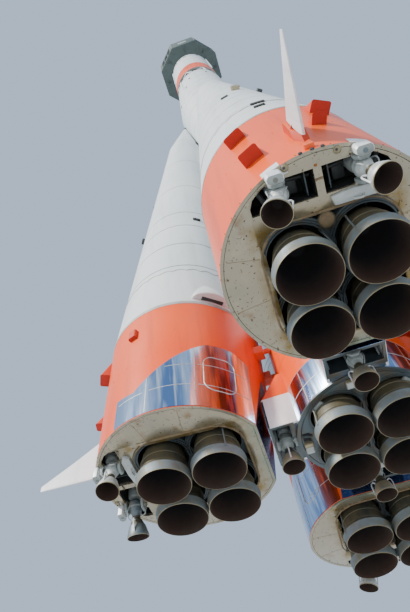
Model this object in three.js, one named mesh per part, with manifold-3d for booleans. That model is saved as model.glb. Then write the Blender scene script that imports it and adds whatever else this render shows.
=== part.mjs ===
import * as THREE from "three";
import { mergeVertices } from "three/addons/utils/BufferGeometryUtils.js";
import Module from "manifold-3d";

// A four-booster space rocket at half its real size, standing on its nozzle rims.
// +Z is up, and z = 0 is the exit plane of the main nozzles. The core stands on the Z axis.
// Sizes are given in metres of the real rocket, and METRE turns them into model millimetres.

const METRE = 500;
const TOUCH = 0.0006; // the gap between touching pieces
const BOOSTER_ANGLES = { right: 0, far: 90, left: 180, front: 270 };
const DEGREE = Math.PI / 180;
const CUT_REACH = 4; // far enough for a cutting block to pass any piece
const CUT_MARGIN = 0.1; // how far a cut starts outside the face that it opens

// Main nozzles: four to a cluster, in a square
const NOZZLE_PITCH = 0.788;
const NOZZLE_EXIT_RADIUS = 0.362;
const NOZZLE_WALL = 0.014;
const NOZZLE_LIP = 0.03;
const NOZZLE_LIP_HEIGHT = 0.14;
const NOZZLE_WAIST_RADIUS = 0.315;
const NOZZLE_WAIST_HEIGHT = 0.25;
const NOZZLE_THROAT_RADIUS = 0.15;
const NOZZLE_THROAT_HEIGHT = 0.7;
const NOZZLE_CUP_TOP = 0.8;
const NOZZLE_TOP = 1.0;
const NOZZLE_TOP_RADIUS = 0.2;
const THRUST_PLATE = { half: 0.6, low: 0.98, high: 1.1, postRadius: 0.3, postSides: 8 };
const BELL_SIDES = 16;

// Booster: a leaning tail section and tank cone
const BOOSTER_LEAN = 0.063;
const BOOSTER_BASE_RADIUS = 2.686;
const BOOSTER_BASE_HEIGHT = 0.467;
const BOOSTER_CLUSTER_RADIUS = 2.533;
const TAIL_FOOT_RADIUS = 1.341;
const TAIL_TOP_RADIUS = 1.375;
const TAIL_LENGTH = 2.45;
const CONE_TOP_LENGTH = 15.4;
const CONE_TOP_RADIUS = 0.66;
const NOSE_TIP_LENGTH = 19.6;
const NOSE_TIP_RADIUS = 0.05;
const BODY_SIDES = 32;
const INNER_FLAT_FOOT = 1.186;
const INNER_FLAT_HEIGHT = 1.6;
const INNER_FLAT_RIM = 0.04;

// Base plates, set up inside the rim of each tail section
const PLATE_THICKNESS = 0.05;
const PLATE_RADIUS = 1.3;
const PLATE_NOZZLE_HOLE = 0.365;
const ENGINE_BAY_RADIUS = 0.985;
const ENGINE_BAY_TOP = 1.3;
const BAY_SIDES = 24;

// Square vents in the booster base plate
const VENT = { inner: 0.835, outer: 1.145, near: 0.045, far: 0.38, depth: 0.35 };

// Steering chambers: small bells hung on a radial trunnion
const CHAMBER_RADIUS = 0.157;
const CHAMBER_WALL = 0.01;
const CHAMBER_LENGTH = 0.46;
const CHAMBER_PIVOT_HEIGHT = 0.502;
const CHAMBER_HEAD_RADIUS = 0.1;
const CHAMBER_SIDES = 10;
const CHAMBER_INSIDE = [[CHAMBER_RADIUS, -CHAMBER_LENGTH], [0.105, -0.3], [0, -0.19]];
const CHAMBER_OUTSIDE = [
  [0, CHAMBER_HEAD_RADIUS],
  [CHAMBER_HEAD_RADIUS, 0.03],
  [0.085, -0.09],
  [0.06, -0.18],
  [0.12, -0.3],
  [CHAMBER_RADIUS + CHAMBER_WALL, -CHAMBER_LENGTH],
];
const CHAMBER_RADIUS_FROM_CORE = 3.69;
const CHAMBER_OFFSET = 0.455;
const CORE_CHAMBER_RADIUS_FROM_CORE = 1.175;
const TRUNNION_RADIUS = 0.033;
const TRUNNION_HOLE_RADIUS = 0.0347;
const TRUNNION_REACH = 0.15;
const TRUNNION_START = 0.07;
const PIN_SIDES = 12;
const CHEEK_INNER = 0.112;
const CHEEK_THICKNESS = 0.04;
const CHEEK_HALF_WIDTH = 0.09;
const CHEEK_FOOT = 0.41;
const CHEEK_TOP = 0.56;
const CHAMBER_POCKET = { inner: 3.45, outer: 3.93, halfWidth: 0.24, slotHalfWidth: 0.2, top: 0.85 };

// Cowls that hang outside the booster chambers, and the links that carry them
const COWL = { out: [1.165, 1.27], near: 0.37, far: 0.56, depth: 0.17 };
const COWL_LINK = { out: [1.125, 1.22], near: 0.43, far: 0.53, low: -0.13, high: 0.02 };

// Each row: booster, side of the chamber, and its outward swing at rest in degrees
const BOOSTER_CHAMBERS = [
  { booster: "front", side: -1, splay: 14.5 },
  { booster: "front", side: 1, splay: 10.7 },
  { booster: "left", side: -1, splay: 17.6 },
  { booster: "left", side: 1, splay: 13.1 },
  { booster: "far", side: -1, splay: 14 },
  { booster: "far", side: 1, splay: 17.4 },
  { booster: "right", side: -1, splay: 14 },
  { booster: "right", side: 1, splay: 14 },
];

// Air rudder: a triangular blade on a spanwise shaft
const RUDDER_ROOT = 4.1;
const RUDDER_TIP = 5.12;
const RUDDER_BLADE = { rootLow: 0.84, rootHigh: 1.62, tipLow: 0.9, tipHigh: 1.0 };
const RUDDER_HALF_THICKNESS = 0.035;
const RUDDER_TIP_HALF_THICKNESS = 0.01;
const RUDDER_SHAFT_HEIGHT = 1.25;
const RUDDER_SHAFT_RADIUS = 0.04;
const RUDDER_HOLE_RADIUS = 0.0417;
const RUDDER_SHAFT_INSET = 0.04;
const RUDDER_BLOCK = { inner: 3.8, outer: 4.085, halfWidth: 0.08, low: 0.95, high: 1.6 };

// Boxes on the booster tail: angle from straight out, foot and head along the tail, half width,
// and how far the foot and the head stand out from the skin
const TAIL_BOXES = [
  { angle: -25.3, foot: 1.8, head: 2.22, halfWidth: 0.135, footStand: 0.16, headStand: -0.01 },
  { angle: -23.5, foot: 0.64, head: 1.06, halfWidth: 0.127, footStand: 0.175, headStand: -0.01 },
  { angle: 24.5, foot: 1.85, head: 2.25, halfWidth: 0.135, footStand: 0.165, headStand: -0.01 },
  { angle: 14.5, foot: 1.0, head: 1.25, halfWidth: 0.09, footStand: 0.145, headStand: -0.01 },
  { angle: 68, foot: 1.85, head: 2.03, halfWidth: 0.08, footStand: 0.07, headStand: 0.07 },
];
const TAIL_BOX_ROOT = 0.15; // how deep a box starts inside the skin

// Ties between the core tail and each booster tail
const TIE_HEIGHT = 2.25;
const TIE_OFFSET = 0.3;
const TIE_FACE = 1.1;
const TIE_RADIUS = 0.045;
const TIE_PAD = 0.09;
const TIE_PAD_INNER = 1.6;

// Core
const CORE_LOW_RADIUS = 1.025;
const CORE_WIDE_RADIUS = 1.475;
const CORE_TOP_RADIUS = 1.33;
const CORE_BASE_HEIGHT = 0.45;
const CORE_TAIL_TOP = 2.9;
const CORE_FLARE_START = 16.0;
const CORE_FLARE_END = 20.9;
const CORE_TOP = 26.7;
const CORE_BAY_RADIUS = 0.96;
const CORE_BAY_TOP = 1.3;
const POD = { inner: 0.9, outer: 1.37, slopeStart: 1.0, slopeEnd: 1.5, halfWidth: 0.42 };
const POD_POCKET = { inner: 1.0, outer: 1.335, halfWidth: 0.38, top: 0.85 };
const HANGER_BRIDGE = 0.08;
const NOSE_SOCKET = { inner: -0.12, outer: 0.06, halfWidth: 0.07, height: 0.2 };

// Third stage and the lattice under it
const LATTICE_RING_HEIGHT = 0.08;
const LATTICE_BAYS = 8;
const LATTICE_ROD_RADIUS = 0.035;
const LATTICE_ROD_SIDES = 5;
const LATTICE_RING_WIDTH = 0.1;
const STAGE_RADIUS = 1.33;
const STAGE_RING_FOOT = 27.8;
const STAGE_RING_TOP = 29.8;
const STAGE_TOP = 34.3;
const UPPER_BELL = { radius: 0.24, throat: 0.09, pitch: 0.62, foot: 26.95, top: 27.75, sides: 10 };
const UPPER_ENGINE_HALF = 0.5;
const UPPER_ENGINE_OVERLAP = 0.05;
const RING_POCKET = { radius: 1.2, depth: 0.2 };

// Eight-sided skirt at the foot of the fairing, with four folding grid fins
const SKIRT_FLARE_TOP = 34.6;
const SKIRT_TOP = 37.4;
const SKIRT_FOOT_INRADIUS = 1.31;
const SKIRT_INRADIUS = 2.0;
const FIN_WIDTH = 1.4;
const FIN_HEIGHT = 2.3;
const FIN_THICKNESS = 0.16;
const FIN_FOOT = 34.85;
const FIN_FRAME = 0.12;
const FIN_COLUMNS = 3;
const FIN_ROWS = 4;
const FIN_BAR = 0.05;
const FIN_RECESS_GAP = 0.03;
const FIN_ANGLES = [45, 135, 225, 315];
const FIN_PIN_HEIGHT = 34.91;
const FIN_PIN_REACH = 0.1;
const FIN_PIN_HOLE_REACH = 0.12;
const FIN_PIN_RADIUS = 0.03;
const FIN_PIN_HOLE_RADIUS = 0.0315;

// Fairing, nose and escape tower
const FAIRING_OUTLINE = [[1.5, SKIRT_TOP + TOUCH], [1.5, 41.6], [1.28, 43.0], [0.92, 44.2], [0.5, 45.0]];
const TOWER_OUTLINE = [
  [0.42, 45.0 + TOUCH],
  [0.3, 45.65],
  [0.3, 48.25],
  [0.38, 48.4],
  [0.38, 50.05],
  [0.05, 50.75],
];
const TOWER_SIDES = 20;

const wasm = await Module();
wasm.setup();

// Colours, roughness and metalness of the finishes
const FINISHES = {
  orange: { color: 0xd85a28, roughness: 0.45, metalness: 0.0 },
  white: { color: 0xd5dadd, roughness: 0.4, metalness: 0.0 },
  plate: { color: 0xa39a86, roughness: 0.7, metalness: 0.1 },
  nozzle: { color: 0x6f7c80, roughness: 0.5, metalness: 0.6 },
  chamber: { color: 0x8d8f86, roughness: 0.5, metalness: 0.5 },
  steel: { color: 0x55595a, roughness: 0.5, metalness: 0.7 },
  skirt: { color: 0x4a5754, roughness: 0.6, metalness: 0.0 },
};

// Turns a closed three.js geometry into a manifold solid, its faces pointing out
function solidOf(geometry) {
  const bare = geometry.clone();
  bare.deleteAttribute("normal");
  bare.deleteAttribute("uv");
  const merged = mergeVertices(bare, 0.001);
  const place = merged.attributes.position.array;
  const index = merged.index.array;
  const kept = [];
  let volume = 0;
  for (let i = 0; i < index.length; i += 3) {
    const [a, b, c] = [index[i], index[i + 1], index[i + 2]];
    if (a === b || b === c || c === a) continue;
    kept.push(a, b, c);
    const p = new THREE.Vector3().fromArray(place, 3 * a);
    const q = new THREE.Vector3().fromArray(place, 3 * b);
    const r = new THREE.Vector3().fromArray(place, 3 * c);
    volume += p.dot(q.cross(r));
  }
  if (volume < 0) kept.reverse();
  const mesh = new wasm.Mesh({
    numProp: 3,
    vertProperties: new Float32Array(place),
    triVerts: new Uint32Array(kept),
  });
  return new wasm.Manifold(mesh);
}

// Turns a manifold solid back into a three.js geometry
function geometryOf(solid) {
  const mesh = solid.getMesh();
  const geometry = new THREE.BufferGeometry();
  geometry.setAttribute("position", new THREE.BufferAttribute(new Float32Array(mesh.vertProperties), 3));
  geometry.setIndex(new THREE.BufferAttribute(new Uint32Array(mesh.triVerts), 1));
  geometry.computeVertexNormals();
  return geometry;
}

function joined(solids) {
  return solids.reduce((sum, solid) => sum.add(solid));
}

function without(solid, cuts) {
  return cuts.reduce((rest, cut) => rest.subtract(cut), solid);
}

// Moves a solid by metres, after an optional turn about each axis in radians
function placed(solid, { turn = [0, 0, 0], at = [0, 0, 0] }) {
  const matrix = new THREE.Matrix4().makeRotationFromEuler(new THREE.Euler(...turn, "XYZ"));
  matrix.setPosition(at[0] * METRE, at[1] * METRE, at[2] * METRE);
  return solid.transform(matrix.elements);
}

// A solid of revolution about Z from [radius, height] corners in metres.
// Its outline starts and ends on the axis, or closes on itself.
function turned(corners, sides) {
  const points = corners.map(([radius, height]) => new THREE.Vector2(radius * METRE, height * METRE));
  const geometry = new THREE.LatheGeometry(points, sides);
  geometry.rotateX(Math.PI / 2);
  return solidOf(geometry);
}

// Adds the axis points at the two ends of an outline
function closedOnAxis(outline) {
  return [[0, outline[0][1]], ...outline, [0, outline.at(-1)[1]]];
}

function frustum(lowRadius, highRadius, low, high, sides = BODY_SIDES) {
  return turned([[0, low], [lowRadius, low], [highRadius, high], [0, high]], sides);
}

function block(x, y, z) {
  const geometry = new THREE.BoxGeometry((x[1] - x[0]) * METRE, (y[1] - y[0]) * METRE, (z[1] - z[0]) * METRE);
  geometry.translate((x[0] + x[1]) / 2 * METRE, (y[0] + y[1]) / 2 * METRE, (z[0] + z[1]) / 2 * METRE);
  return solidOf(geometry);
}

// A round bar between two points in metres
function bar(start, end, radius, sides = 8) {
  const from = new THREE.Vector3(...start);
  const along = new THREE.Vector3(...end).sub(from);
  const geometry = new THREE.CylinderGeometry(radius * METRE, radius * METRE, along.length() * METRE, sides);
  geometry.rotateX(Math.PI / 2);
  const middle = from.clone().addScaledVector(along, 0.5).multiplyScalar(METRE);
  const turn = new THREE.Quaternion().setFromUnitVectors(new THREE.Vector3(0, 0, 1), along.normalize());
  geometry.applyQuaternion(turn);
  geometry.translate(middle.x, middle.y, middle.z);
  return solidOf(geometry);
}

// A flat outline in X and Z, in metres, given a thickness along Y about y = 0
function slab(outline, halfThickness) {
  const shape = new THREE.Shape(outline.map(([x, z]) => new THREE.Vector2(x * METRE, z * METRE)));
  const depth = 2 * halfThickness * METRE;
  const geometry = new THREE.ExtrudeGeometry(shape, { depth, bevelEnabled: false });
  geometry.translate(0, 0, -halfThickness * METRE);
  geometry.rotateX(Math.PI / 2);
  return solidOf(geometry);
}

function piece(name, solid, finish, parent) {
  const mesh = new THREE.Mesh(geometryOf(solid), new THREE.MeshStandardMaterial(FINISHES[finish]));
  mesh.name = name;
  parent.add(mesh);
  return mesh;
}

// The same solid at the four corners of a cluster round x on the X axis
function cluster(x, solid) {
  const half = NOZZLE_PITCH / 2;
  return [[-1, -1], [-1, 1], [1, -1], [1, 1]].map(([i, j]) => (
    placed(solid, { at: [x + i * half, j * half, 0] })));
}

// The booster's leaning frame inside its upright one: +X points away from the core
function leaned(solid) {
  return placed(solid, {
    turn: [0, -BOOSTER_LEAN, 0],
    at: [BOOSTER_BASE_RADIUS, 0, BOOSTER_BASE_HEIGHT],
  });
}

// One hollow main bell on the Z axis, closed at its top, with its exit rim at z = 0
function mainBell() {
  return turned([
    [0, NOZZLE_CUP_TOP],
    [NOZZLE_THROAT_RADIUS, NOZZLE_THROAT_HEIGHT],
    [NOZZLE_WAIST_RADIUS, NOZZLE_WAIST_HEIGHT],
    [NOZZLE_EXIT_RADIUS, 0],
    [NOZZLE_EXIT_RADIUS + NOZZLE_WALL, 0],
    [NOZZLE_EXIT_RADIUS + NOZZLE_LIP, NOZZLE_LIP_HEIGHT],
    [NOZZLE_WAIST_RADIUS + NOZZLE_WALL, NOZZLE_WAIST_HEIGHT + NOZZLE_LIP],
    [NOZZLE_TOP_RADIUS, NOZZLE_TOP],
    [0, NOZZLE_TOP],
  ], BELL_SIDES);
}

// Four bells on a thrust plate and a post, round x on the X axis
function mainEngine(x, postTop) {
  const { half, low, high, postRadius, postSides } = THRUST_PLATE;
  const plate = block([x - half, x + half], [-half, half], [low, high]);
  const post = placed(frustum(postRadius, postRadius, NOZZLE_TOP, postTop, postSides), { at: [x, 0, 0] });
  return joined([...cluster(x, mainBell()), plate, post]);
}

// A steering chamber hanging straight down from a pivot at the origin, its trunnion along X
function steeringChamber() {
  const bell = turned([...CHAMBER_INSIDE.toReversed(), ...CHAMBER_OUTSIDE.toReversed()], CHAMBER_SIDES);
  const trunnion = bar([-TRUNNION_REACH, 0, 0], [TRUNNION_REACH, 0, 0], TRUNNION_RADIUS, PIN_SIDES);
  const middle = [-TRUNNION_START, TRUNNION_START];
  return bell.add(trunnion.subtract(block(middle, middle, middle)));
}

// The two cheeks that carry a trunnion, up to height top, and their hole, round a pivot at x, y
function cheeks(x, y, top) {
  const plate = block([0, CHEEK_THICKNESS], [y - CHEEK_HALF_WIDTH, y + CHEEK_HALF_WIDTH], [CHEEK_FOOT, top]);
  const plates = [x - CHEEK_INNER - CHEEK_THICKNESS, x + CHEEK_INNER].map((start) => (
    placed(plate, { at: [start, 0, 0] })));
  const reach = CHEEK_INNER + 2 * CHEEK_THICKNESS;
  const pivot = CHAMBER_PIVOT_HEIGHT;
  const hole = bar([x - reach, y, pivot], [x + reach, y, pivot], TRUNNION_HOLE_RADIUS, PIN_SIDES);
  return { plates: joined(plates), hole };
}

// Booster tail section, with the engine bay, chamber pockets, rudder block, boxes and tie pads
function boosterTail() {
  const flatTurn = Math.atan((TAIL_TOP_RADIUS - INNER_FLAT_FOOT) / INNER_FLAT_HEIGHT);
  const flatCut = placed(block([-CUT_REACH, 0], [-CUT_REACH, CUT_REACH], [-CUT_REACH, CUT_REACH]), {
    turn: [0, -flatTurn, 0],
    at: [-INNER_FLAT_FOOT, 0, 0],
  });
  const shell = leaned(frustum(TAIL_FOOT_RADIUS, TAIL_TOP_RADIUS, 0, TAIL_LENGTH).subtract(flatCut));
  const skin = (along) => TAIL_FOOT_RADIUS + (TAIL_TOP_RADIUS - TAIL_FOOT_RADIUS) * along / TAIL_LENGTH;
  const boxes = TAIL_BOXES.map(({ angle, foot, head, halfWidth, footStand, headStand }) => {
    const box = slab([
      [TAIL_FOOT_RADIUS - TAIL_BOX_ROOT, foot],
      [skin(foot) + footStand, foot],
      [skin(head) + headStand, head],
      [TAIL_FOOT_RADIUS - TAIL_BOX_ROOT, head],
    ], halfWidth);
    return leaned(placed(box, { turn: [0, 0, angle * DEGREE] }));
  });
  const { inner, outer, halfWidth, low, high } = RUDDER_BLOCK;
  const rudderBlock = block([inner, outer], [-halfWidth, halfWidth], [low, high]);
  const rudderHole = bar([inner + RUDDER_SHAFT_INSET / 2, 0, RUDDER_SHAFT_HEIGHT],
    [outer + RUDDER_SHAFT_INSET, 0, RUDDER_SHAFT_HEIGHT], RUDDER_HOLE_RADIUS, PIN_SIDES);
  const padHeight = [TIE_HEIGHT - TIE_PAD, TIE_HEIGHT + TIE_PAD];
  const pads = [-TIE_OFFSET, TIE_OFFSET].map((y) => (
    block([TIE_FACE, TIE_PAD_INNER], [y - TIE_PAD, y + TIE_PAD], padHeight)));
  const recess = leaned(plateOutline(0, [-CUT_MARGIN, PLATE_THICKNESS + TOUCH]));
  const bay = placed(frustum(ENGINE_BAY_RADIUS, ENGINE_BAY_RADIUS, 0, ENGINE_BAY_TOP, BAY_SIDES), {
    at: [BOOSTER_CLUSTER_RADIUS, 0, 0],
  });
  const body = joined([shell, ...boxes, rudderBlock, ...pads]);
  const pockets = chamberPockets(CHAMBER_POCKET.inner, CHAMBER_POCKET.outer, CHAMBER_POCKET.halfWidth);
  return without(body, [recess, bay, ...pockets, ...ventBlocks(VENT.depth + PLATE_THICKNESS), rudderHole]);
}

// A round plate with the booster's inner flat, smaller all round by a gap
function plateOutline(gap, [low, high]) {
  const flat = block([-CUT_REACH, -INNER_FLAT_FOOT + INNER_FLAT_RIM + gap], [-CUT_REACH, CUT_REACH],
    [-CUT_REACH, CUT_REACH]);
  return frustum(PLATE_RADIUS - gap, PLATE_RADIUS - gap, low, high).subtract(flat);
}

// The spaces round the two booster chambers, between two distances from the core's axis
function chamberPockets(inner, outer, halfWidth) {
  return [-CHAMBER_OFFSET, CHAMBER_OFFSET].map((y) => (
    block([inner, outer], [y - halfWidth, y + halfWidth], [0, CHAMBER_POCKET.top])));
}

// A leaned block and its mirror image, between two distances from the booster's middle plane
function blockPair(out, near, far, along) {
  return [[-far, -near], [near, far]].map((span) => leaned(block(out, span, along)));
}

function ventBlocks(depth) {
  return blockPair([VENT.inner, VENT.outer], VENT.near, VENT.far, [-CUT_MARGIN, depth]);
}

// Booster base plate with its nozzle holes, vents, chamber slots, cheeks and cowls
function boosterPlate() {
  const disc = leaned(plateOutline(TOUCH, [0, PLATE_THICKNESS]));
  const hangers = [-1, 1].map((side) => cheeks(CHAMBER_RADIUS_FROM_CORE, side * CHAMBER_OFFSET, CHEEK_TOP));
  const slots = chamberPockets(CHAMBER_RADIUS_FROM_CORE - CHEEK_INNER, CHAMBER_RADIUS_FROM_CORE + CHEEK_INNER,
    CHAMBER_POCKET.slotHalfWidth);
  const cowls = blockPair(COWL.out, COWL.near, COWL.far, [-COWL.depth, -TOUCH]);
  const links = blockPair(COWL_LINK.out, COWL_LINK.near, COWL_LINK.far, [COWL_LINK.low, COWL_LINK.high]);
  const body = joined([disc, ...cowls, ...links, ...hangers.map(({ plates }) => plates)]);
  const hole = frustum(PLATE_NOZZLE_HOLE, PLATE_NOZZLE_HOLE, 0, CUT_REACH, BELL_SIDES);
  const holes = cluster(BOOSTER_CLUSTER_RADIUS, hole);
  return without(body, [...holes, ...ventBlocks(CUT_REACH), ...slots, ...hangers.map(({ hole }) => hole)]);
}

// Booster tank cone with its steeper nose
function boosterCone() {
  return leaned(turned([
    [0, TAIL_LENGTH + TOUCH],
    [TAIL_TOP_RADIUS, TAIL_LENGTH + TOUCH],
    [CONE_TOP_RADIUS, CONE_TOP_LENGTH],
    [NOSE_TIP_RADIUS, NOSE_TIP_LENGTH],
    [0, NOSE_TIP_LENGTH],
  ], BODY_SIDES));
}

// Blade of the air rudder, tapering in thickness towards its tip, with its shaft
function airRudder() {
  const { rootLow, rootHigh, tipLow, tipHigh } = RUDDER_BLADE;
  const blade = slab([
    [RUDDER_ROOT, rootLow],
    [RUDDER_TIP, tipLow],
    [RUDDER_TIP, tipHigh],
    [RUDDER_ROOT, rootHigh],
  ], RUDDER_HALF_THICKNESS);
  const span = RUDDER_TIP - RUDDER_ROOT;
  const taper = Math.atan((RUDDER_HALF_THICKNESS - RUDDER_TIP_HALF_THICKNESS) / span);
  const shaves = [-1, 1].map((side) => placed(
    block([-CUT_REACH, CUT_REACH], side > 0 ? [0, CUT_REACH] : [-CUT_REACH, 0], [-CUT_REACH, CUT_REACH]),
    { turn: [0, 0, -side * taper], at: [RUDDER_ROOT, side * RUDDER_HALF_THICKNESS, RUDDER_SHAFT_HEIGHT] }));
  const shaft = bar([RUDDER_BLOCK.inner + RUDDER_SHAFT_INSET, 0, RUDDER_SHAFT_HEIGHT],
    [RUDDER_ROOT + RUDDER_SHAFT_INSET, 0, RUDDER_SHAFT_HEIGHT], RUDDER_SHAFT_RADIUS, PIN_SIDES);
  return without(blade, shaves).add(shaft);
}

// Core tail section, with the engine bay, four chamber pods and the ties to the boosters
function coreTail() {
  const pod = slab([
    [POD.inner, CORE_BASE_HEIGHT],
    [POD.outer, CORE_BASE_HEIGHT],
    [POD.outer, POD.slopeStart],
    [CORE_LOW_RADIUS, POD.slopeEnd],
    [POD.inner, POD.slopeEnd],
  ], POD.halfWidth);
  const ties = [-TIE_OFFSET, TIE_OFFSET].map((y) => (
    bar([POD.inner, y, TIE_HEIGHT], [TIE_FACE - TOUCH, y, TIE_HEIGHT], TIE_RADIUS, PIN_SIDES)));
  const pocket = block([POD_POCKET.inner, POD_POCKET.outer], [-POD_POCKET.halfWidth, POD_POCKET.halfWidth],
    [0, POD_POCKET.top]);
  const tube = frustum(CORE_LOW_RADIUS, CORE_LOW_RADIUS, CORE_BASE_HEIGHT - PLATE_THICKNESS, CORE_TAIL_TOP);
  const turns = Object.values(BOOSTER_ANGLES).map((angle) => ({ turn: [0, 0, angle * DEGREE] }));
  const arms = turns.flatMap((turn) => [pod, ...ties].map((arm) => placed(arm, turn)));
  const bay = frustum(CORE_BAY_RADIUS, CORE_BAY_RADIUS, 0, CORE_BAY_TOP, BAY_SIDES);
  return without(joined([tube, ...arms]), [bay, ...turns.map((turn) => placed(pocket, turn))]);
}

// Core base plate with its nozzle holes
function corePlate() {
  const radius = CORE_BAY_RADIUS - TOUCH;
  const disc = frustum(radius, radius, CORE_BASE_HEIGHT - PLATE_THICKNESS, CORE_BASE_HEIGHT, BAY_SIDES);
  const hole = frustum(PLATE_NOZZLE_HOLE, PLATE_NOZZLE_HOLE, 0, CUT_REACH, BELL_SIDES);
  return without(disc, cluster(0, hole));
}

// One core chamber hanger: two cheeks joined across the pod's pocket roof
function coreHanger() {
  const top = POD_POCKET.top - TOUCH;
  const x = CORE_CHAMBER_RADIUS_FROM_CORE;
  const { plates, hole } = cheeks(x, 0, top);
  const reach = CHEEK_INNER + CHEEK_THICKNESS / 2;
  const bridge = block([x - reach, x + reach], [-CHEEK_HALF_WIDTH / 2, CHEEK_HALF_WIDTH / 2],
    [POD_POCKET.top - HANGER_BRIDGE, top]);
  return plates.add(bridge).subtract(hole);
}

// Upper core: the tank that widens past the booster noses, with a socket block at each nose
function upperTank() {
  const tank = turned([
    [0, CORE_FLARE_START + TOUCH],
    [CORE_LOW_RADIUS, CORE_FLARE_START + TOUCH],
    [CORE_WIDE_RADIUS, CORE_FLARE_END],
    [CORE_TOP_RADIUS, CORE_TOP],
    [0, CORE_TOP],
  ], BODY_SIDES);
  const { inner, outer, halfWidth, height } = NOSE_SOCKET;
  const socket = leaned(block([inner, outer], [-halfWidth, halfWidth],
    [NOSE_TIP_LENGTH + TOUCH, NOSE_TIP_LENGTH + height]));
  const turns = Object.values(BOOSTER_ANGLES).map((angle) => ({ turn: [0, 0, angle * DEGREE] }));
  return joined([tank, ...turns.map((turn) => placed(socket, turn))]);
}

// Open lattice between the core and the third stage: two rings and zigzag rods
function lattice() {
  const low = CORE_TOP + TOUCH;
  const high = STAGE_RING_FOOT - TOUCH;
  const ring = (foot) => turned([
    [CORE_TOP_RADIUS, foot],
    [CORE_TOP_RADIUS, foot + LATTICE_RING_HEIGHT],
    [CORE_TOP_RADIUS - LATTICE_RING_WIDTH, foot + LATTICE_RING_HEIGHT],
    [CORE_TOP_RADIUS - LATTICE_RING_WIDTH, foot],
    [CORE_TOP_RADIUS, foot],
  ], BODY_SIDES);
  const middle = CORE_TOP_RADIUS - LATTICE_RING_WIDTH / 2;
  const inset = LATTICE_RING_HEIGHT / 2;
  const step = 2 * Math.PI / LATTICE_BAYS;
  const at = (turn, height) => [middle * Math.cos(turn), middle * Math.sin(turn), height];
  const rods = [];
  for (let bay = 0; bay < LATTICE_BAYS; bay += 1) {
    const foot = at(bay * step, low + inset);
    rods.push(bar(foot, at((bay + 0.5) * step, high - inset), LATTICE_ROD_RADIUS, LATTICE_ROD_SIDES));
    rods.push(bar(foot, at((bay - 0.5) * step, high - inset), LATTICE_ROD_RADIUS, LATTICE_ROD_SIDES));
  }
  return joined([ring(low), ring(high - LATTICE_RING_HEIGHT), ...rods]);
}

// Third-stage engine: a block in the aft ring and four small bells over the core's top
function upperEngine() {
  const { radius, throat, pitch, foot, top, sides } = UPPER_BELL;
  const bell = frustum(radius, throat, foot, top, sides);
  const bells = [[-1, -1], [-1, 1], [1, -1], [1, 1]].map(([i, j]) => (
    placed(bell, { at: [i * pitch / 2, j * pitch / 2, 0] })));
  const half = UPPER_ENGINE_HALF;
  const head = block([-half, half], [-half, half],
    [top - UPPER_ENGINE_OVERLAP, STAGE_RING_FOOT + RING_POCKET.depth - TOUCH]);
  return joined([...bells, head]);
}

function stageRing() {
  const ring = frustum(STAGE_RADIUS, STAGE_RADIUS, STAGE_RING_FOOT, STAGE_RING_TOP);
  const { radius, depth } = RING_POCKET;
  return ring.subtract(frustum(radius, radius, STAGE_RING_FOOT - depth, STAGE_RING_FOOT + depth));
}

// An eight-sided prism or flare whose flats face along the axes and diagonals
function octagonFlare(lowInradius, highInradius, low, high) {
  const corner = 1 / Math.cos(Math.PI / 8);
  const flare = turned([
    [0, low],
    [lowInradius * corner, low],
    [highInradius * corner, high],
    [0, high],
  ], 8);
  return placed(flare, { turn: [0, 0, Math.PI / 8] });
}

// A bar along a grid fin's hinge line, reaching past the fin's sides
function finPin(reach, radius) {
  const x = SKIRT_INRADIUS - FIN_THICKNESS / 2;
  const end = FIN_WIDTH / 2 + reach;
  return bar([x, -end, FIN_PIN_HEIGHT], [x, end, FIN_PIN_HEIGHT], radius, PIN_SIDES);
}

// The skirt with a recess in each diagonal flat, where a grid fin folds away
function fairingSkirt() {
  const flare = octagonFlare(SKIRT_FOOT_INRADIUS, SKIRT_INRADIUS, STAGE_TOP + TOUCH, SKIRT_FLARE_TOP);
  const wall = octagonFlare(SKIRT_INRADIUS, SKIRT_INRADIUS, SKIRT_FLARE_TOP, SKIRT_TOP);
  const half = FIN_WIDTH / 2 + FIN_RECESS_GAP;
  const recess = block([SKIRT_INRADIUS - FIN_THICKNESS - 2 * FIN_RECESS_GAP, SKIRT_INRADIUS + FIN_THICKNESS],
    [-half, half], [FIN_FOOT - FIN_THICKNESS, FIN_FOOT + FIN_HEIGHT + FIN_RECESS_GAP]);
  const hole = finPin(FIN_PIN_HOLE_REACH, FIN_PIN_HOLE_RADIUS);
  const turns = FIN_ANGLES.map((angle) => ({ turn: [0, 0, angle * DEGREE] }));
  const cuts = turns.flatMap((turn) => [recess, hole].map((cut) => placed(cut, turn)));
  return without(flare.add(wall), cuts);
}

// A grid fin folded up against the skirt, its hinge pins at its foot
function gridFin() {
  const [inner, outer] = [SKIRT_INRADIUS - FIN_THICKNESS, SKIRT_INRADIUS];
  const half = FIN_WIDTH / 2;
  const cellWidth = (FIN_WIDTH - 2 * FIN_FRAME - (FIN_COLUMNS - 1) * FIN_BAR) / FIN_COLUMNS;
  const cellHeight = (FIN_HEIGHT - 2 * FIN_FRAME - (FIN_ROWS - 1) * FIN_BAR) / FIN_ROWS;
  const cells = [];
  for (let column = 0; column < FIN_COLUMNS; column += 1) {
    for (let row = 0; row < FIN_ROWS; row += 1) {
      const y = -half + FIN_FRAME + column * (cellWidth + FIN_BAR);
      const z = FIN_FOOT + FIN_FRAME + row * (cellHeight + FIN_BAR);
      cells.push(block([inner - FIN_BAR, outer + FIN_BAR], [y, y + cellWidth], [z, z + cellHeight]));
    }
  }
  const leaf = block([inner, outer], [-half, half], [FIN_FOOT, FIN_FOOT + FIN_HEIGHT]);
  return without(leaf.add(finPin(FIN_PIN_REACH, FIN_PIN_RADIUS)), cells);
}

const rocket = new THREE.Group();

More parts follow.
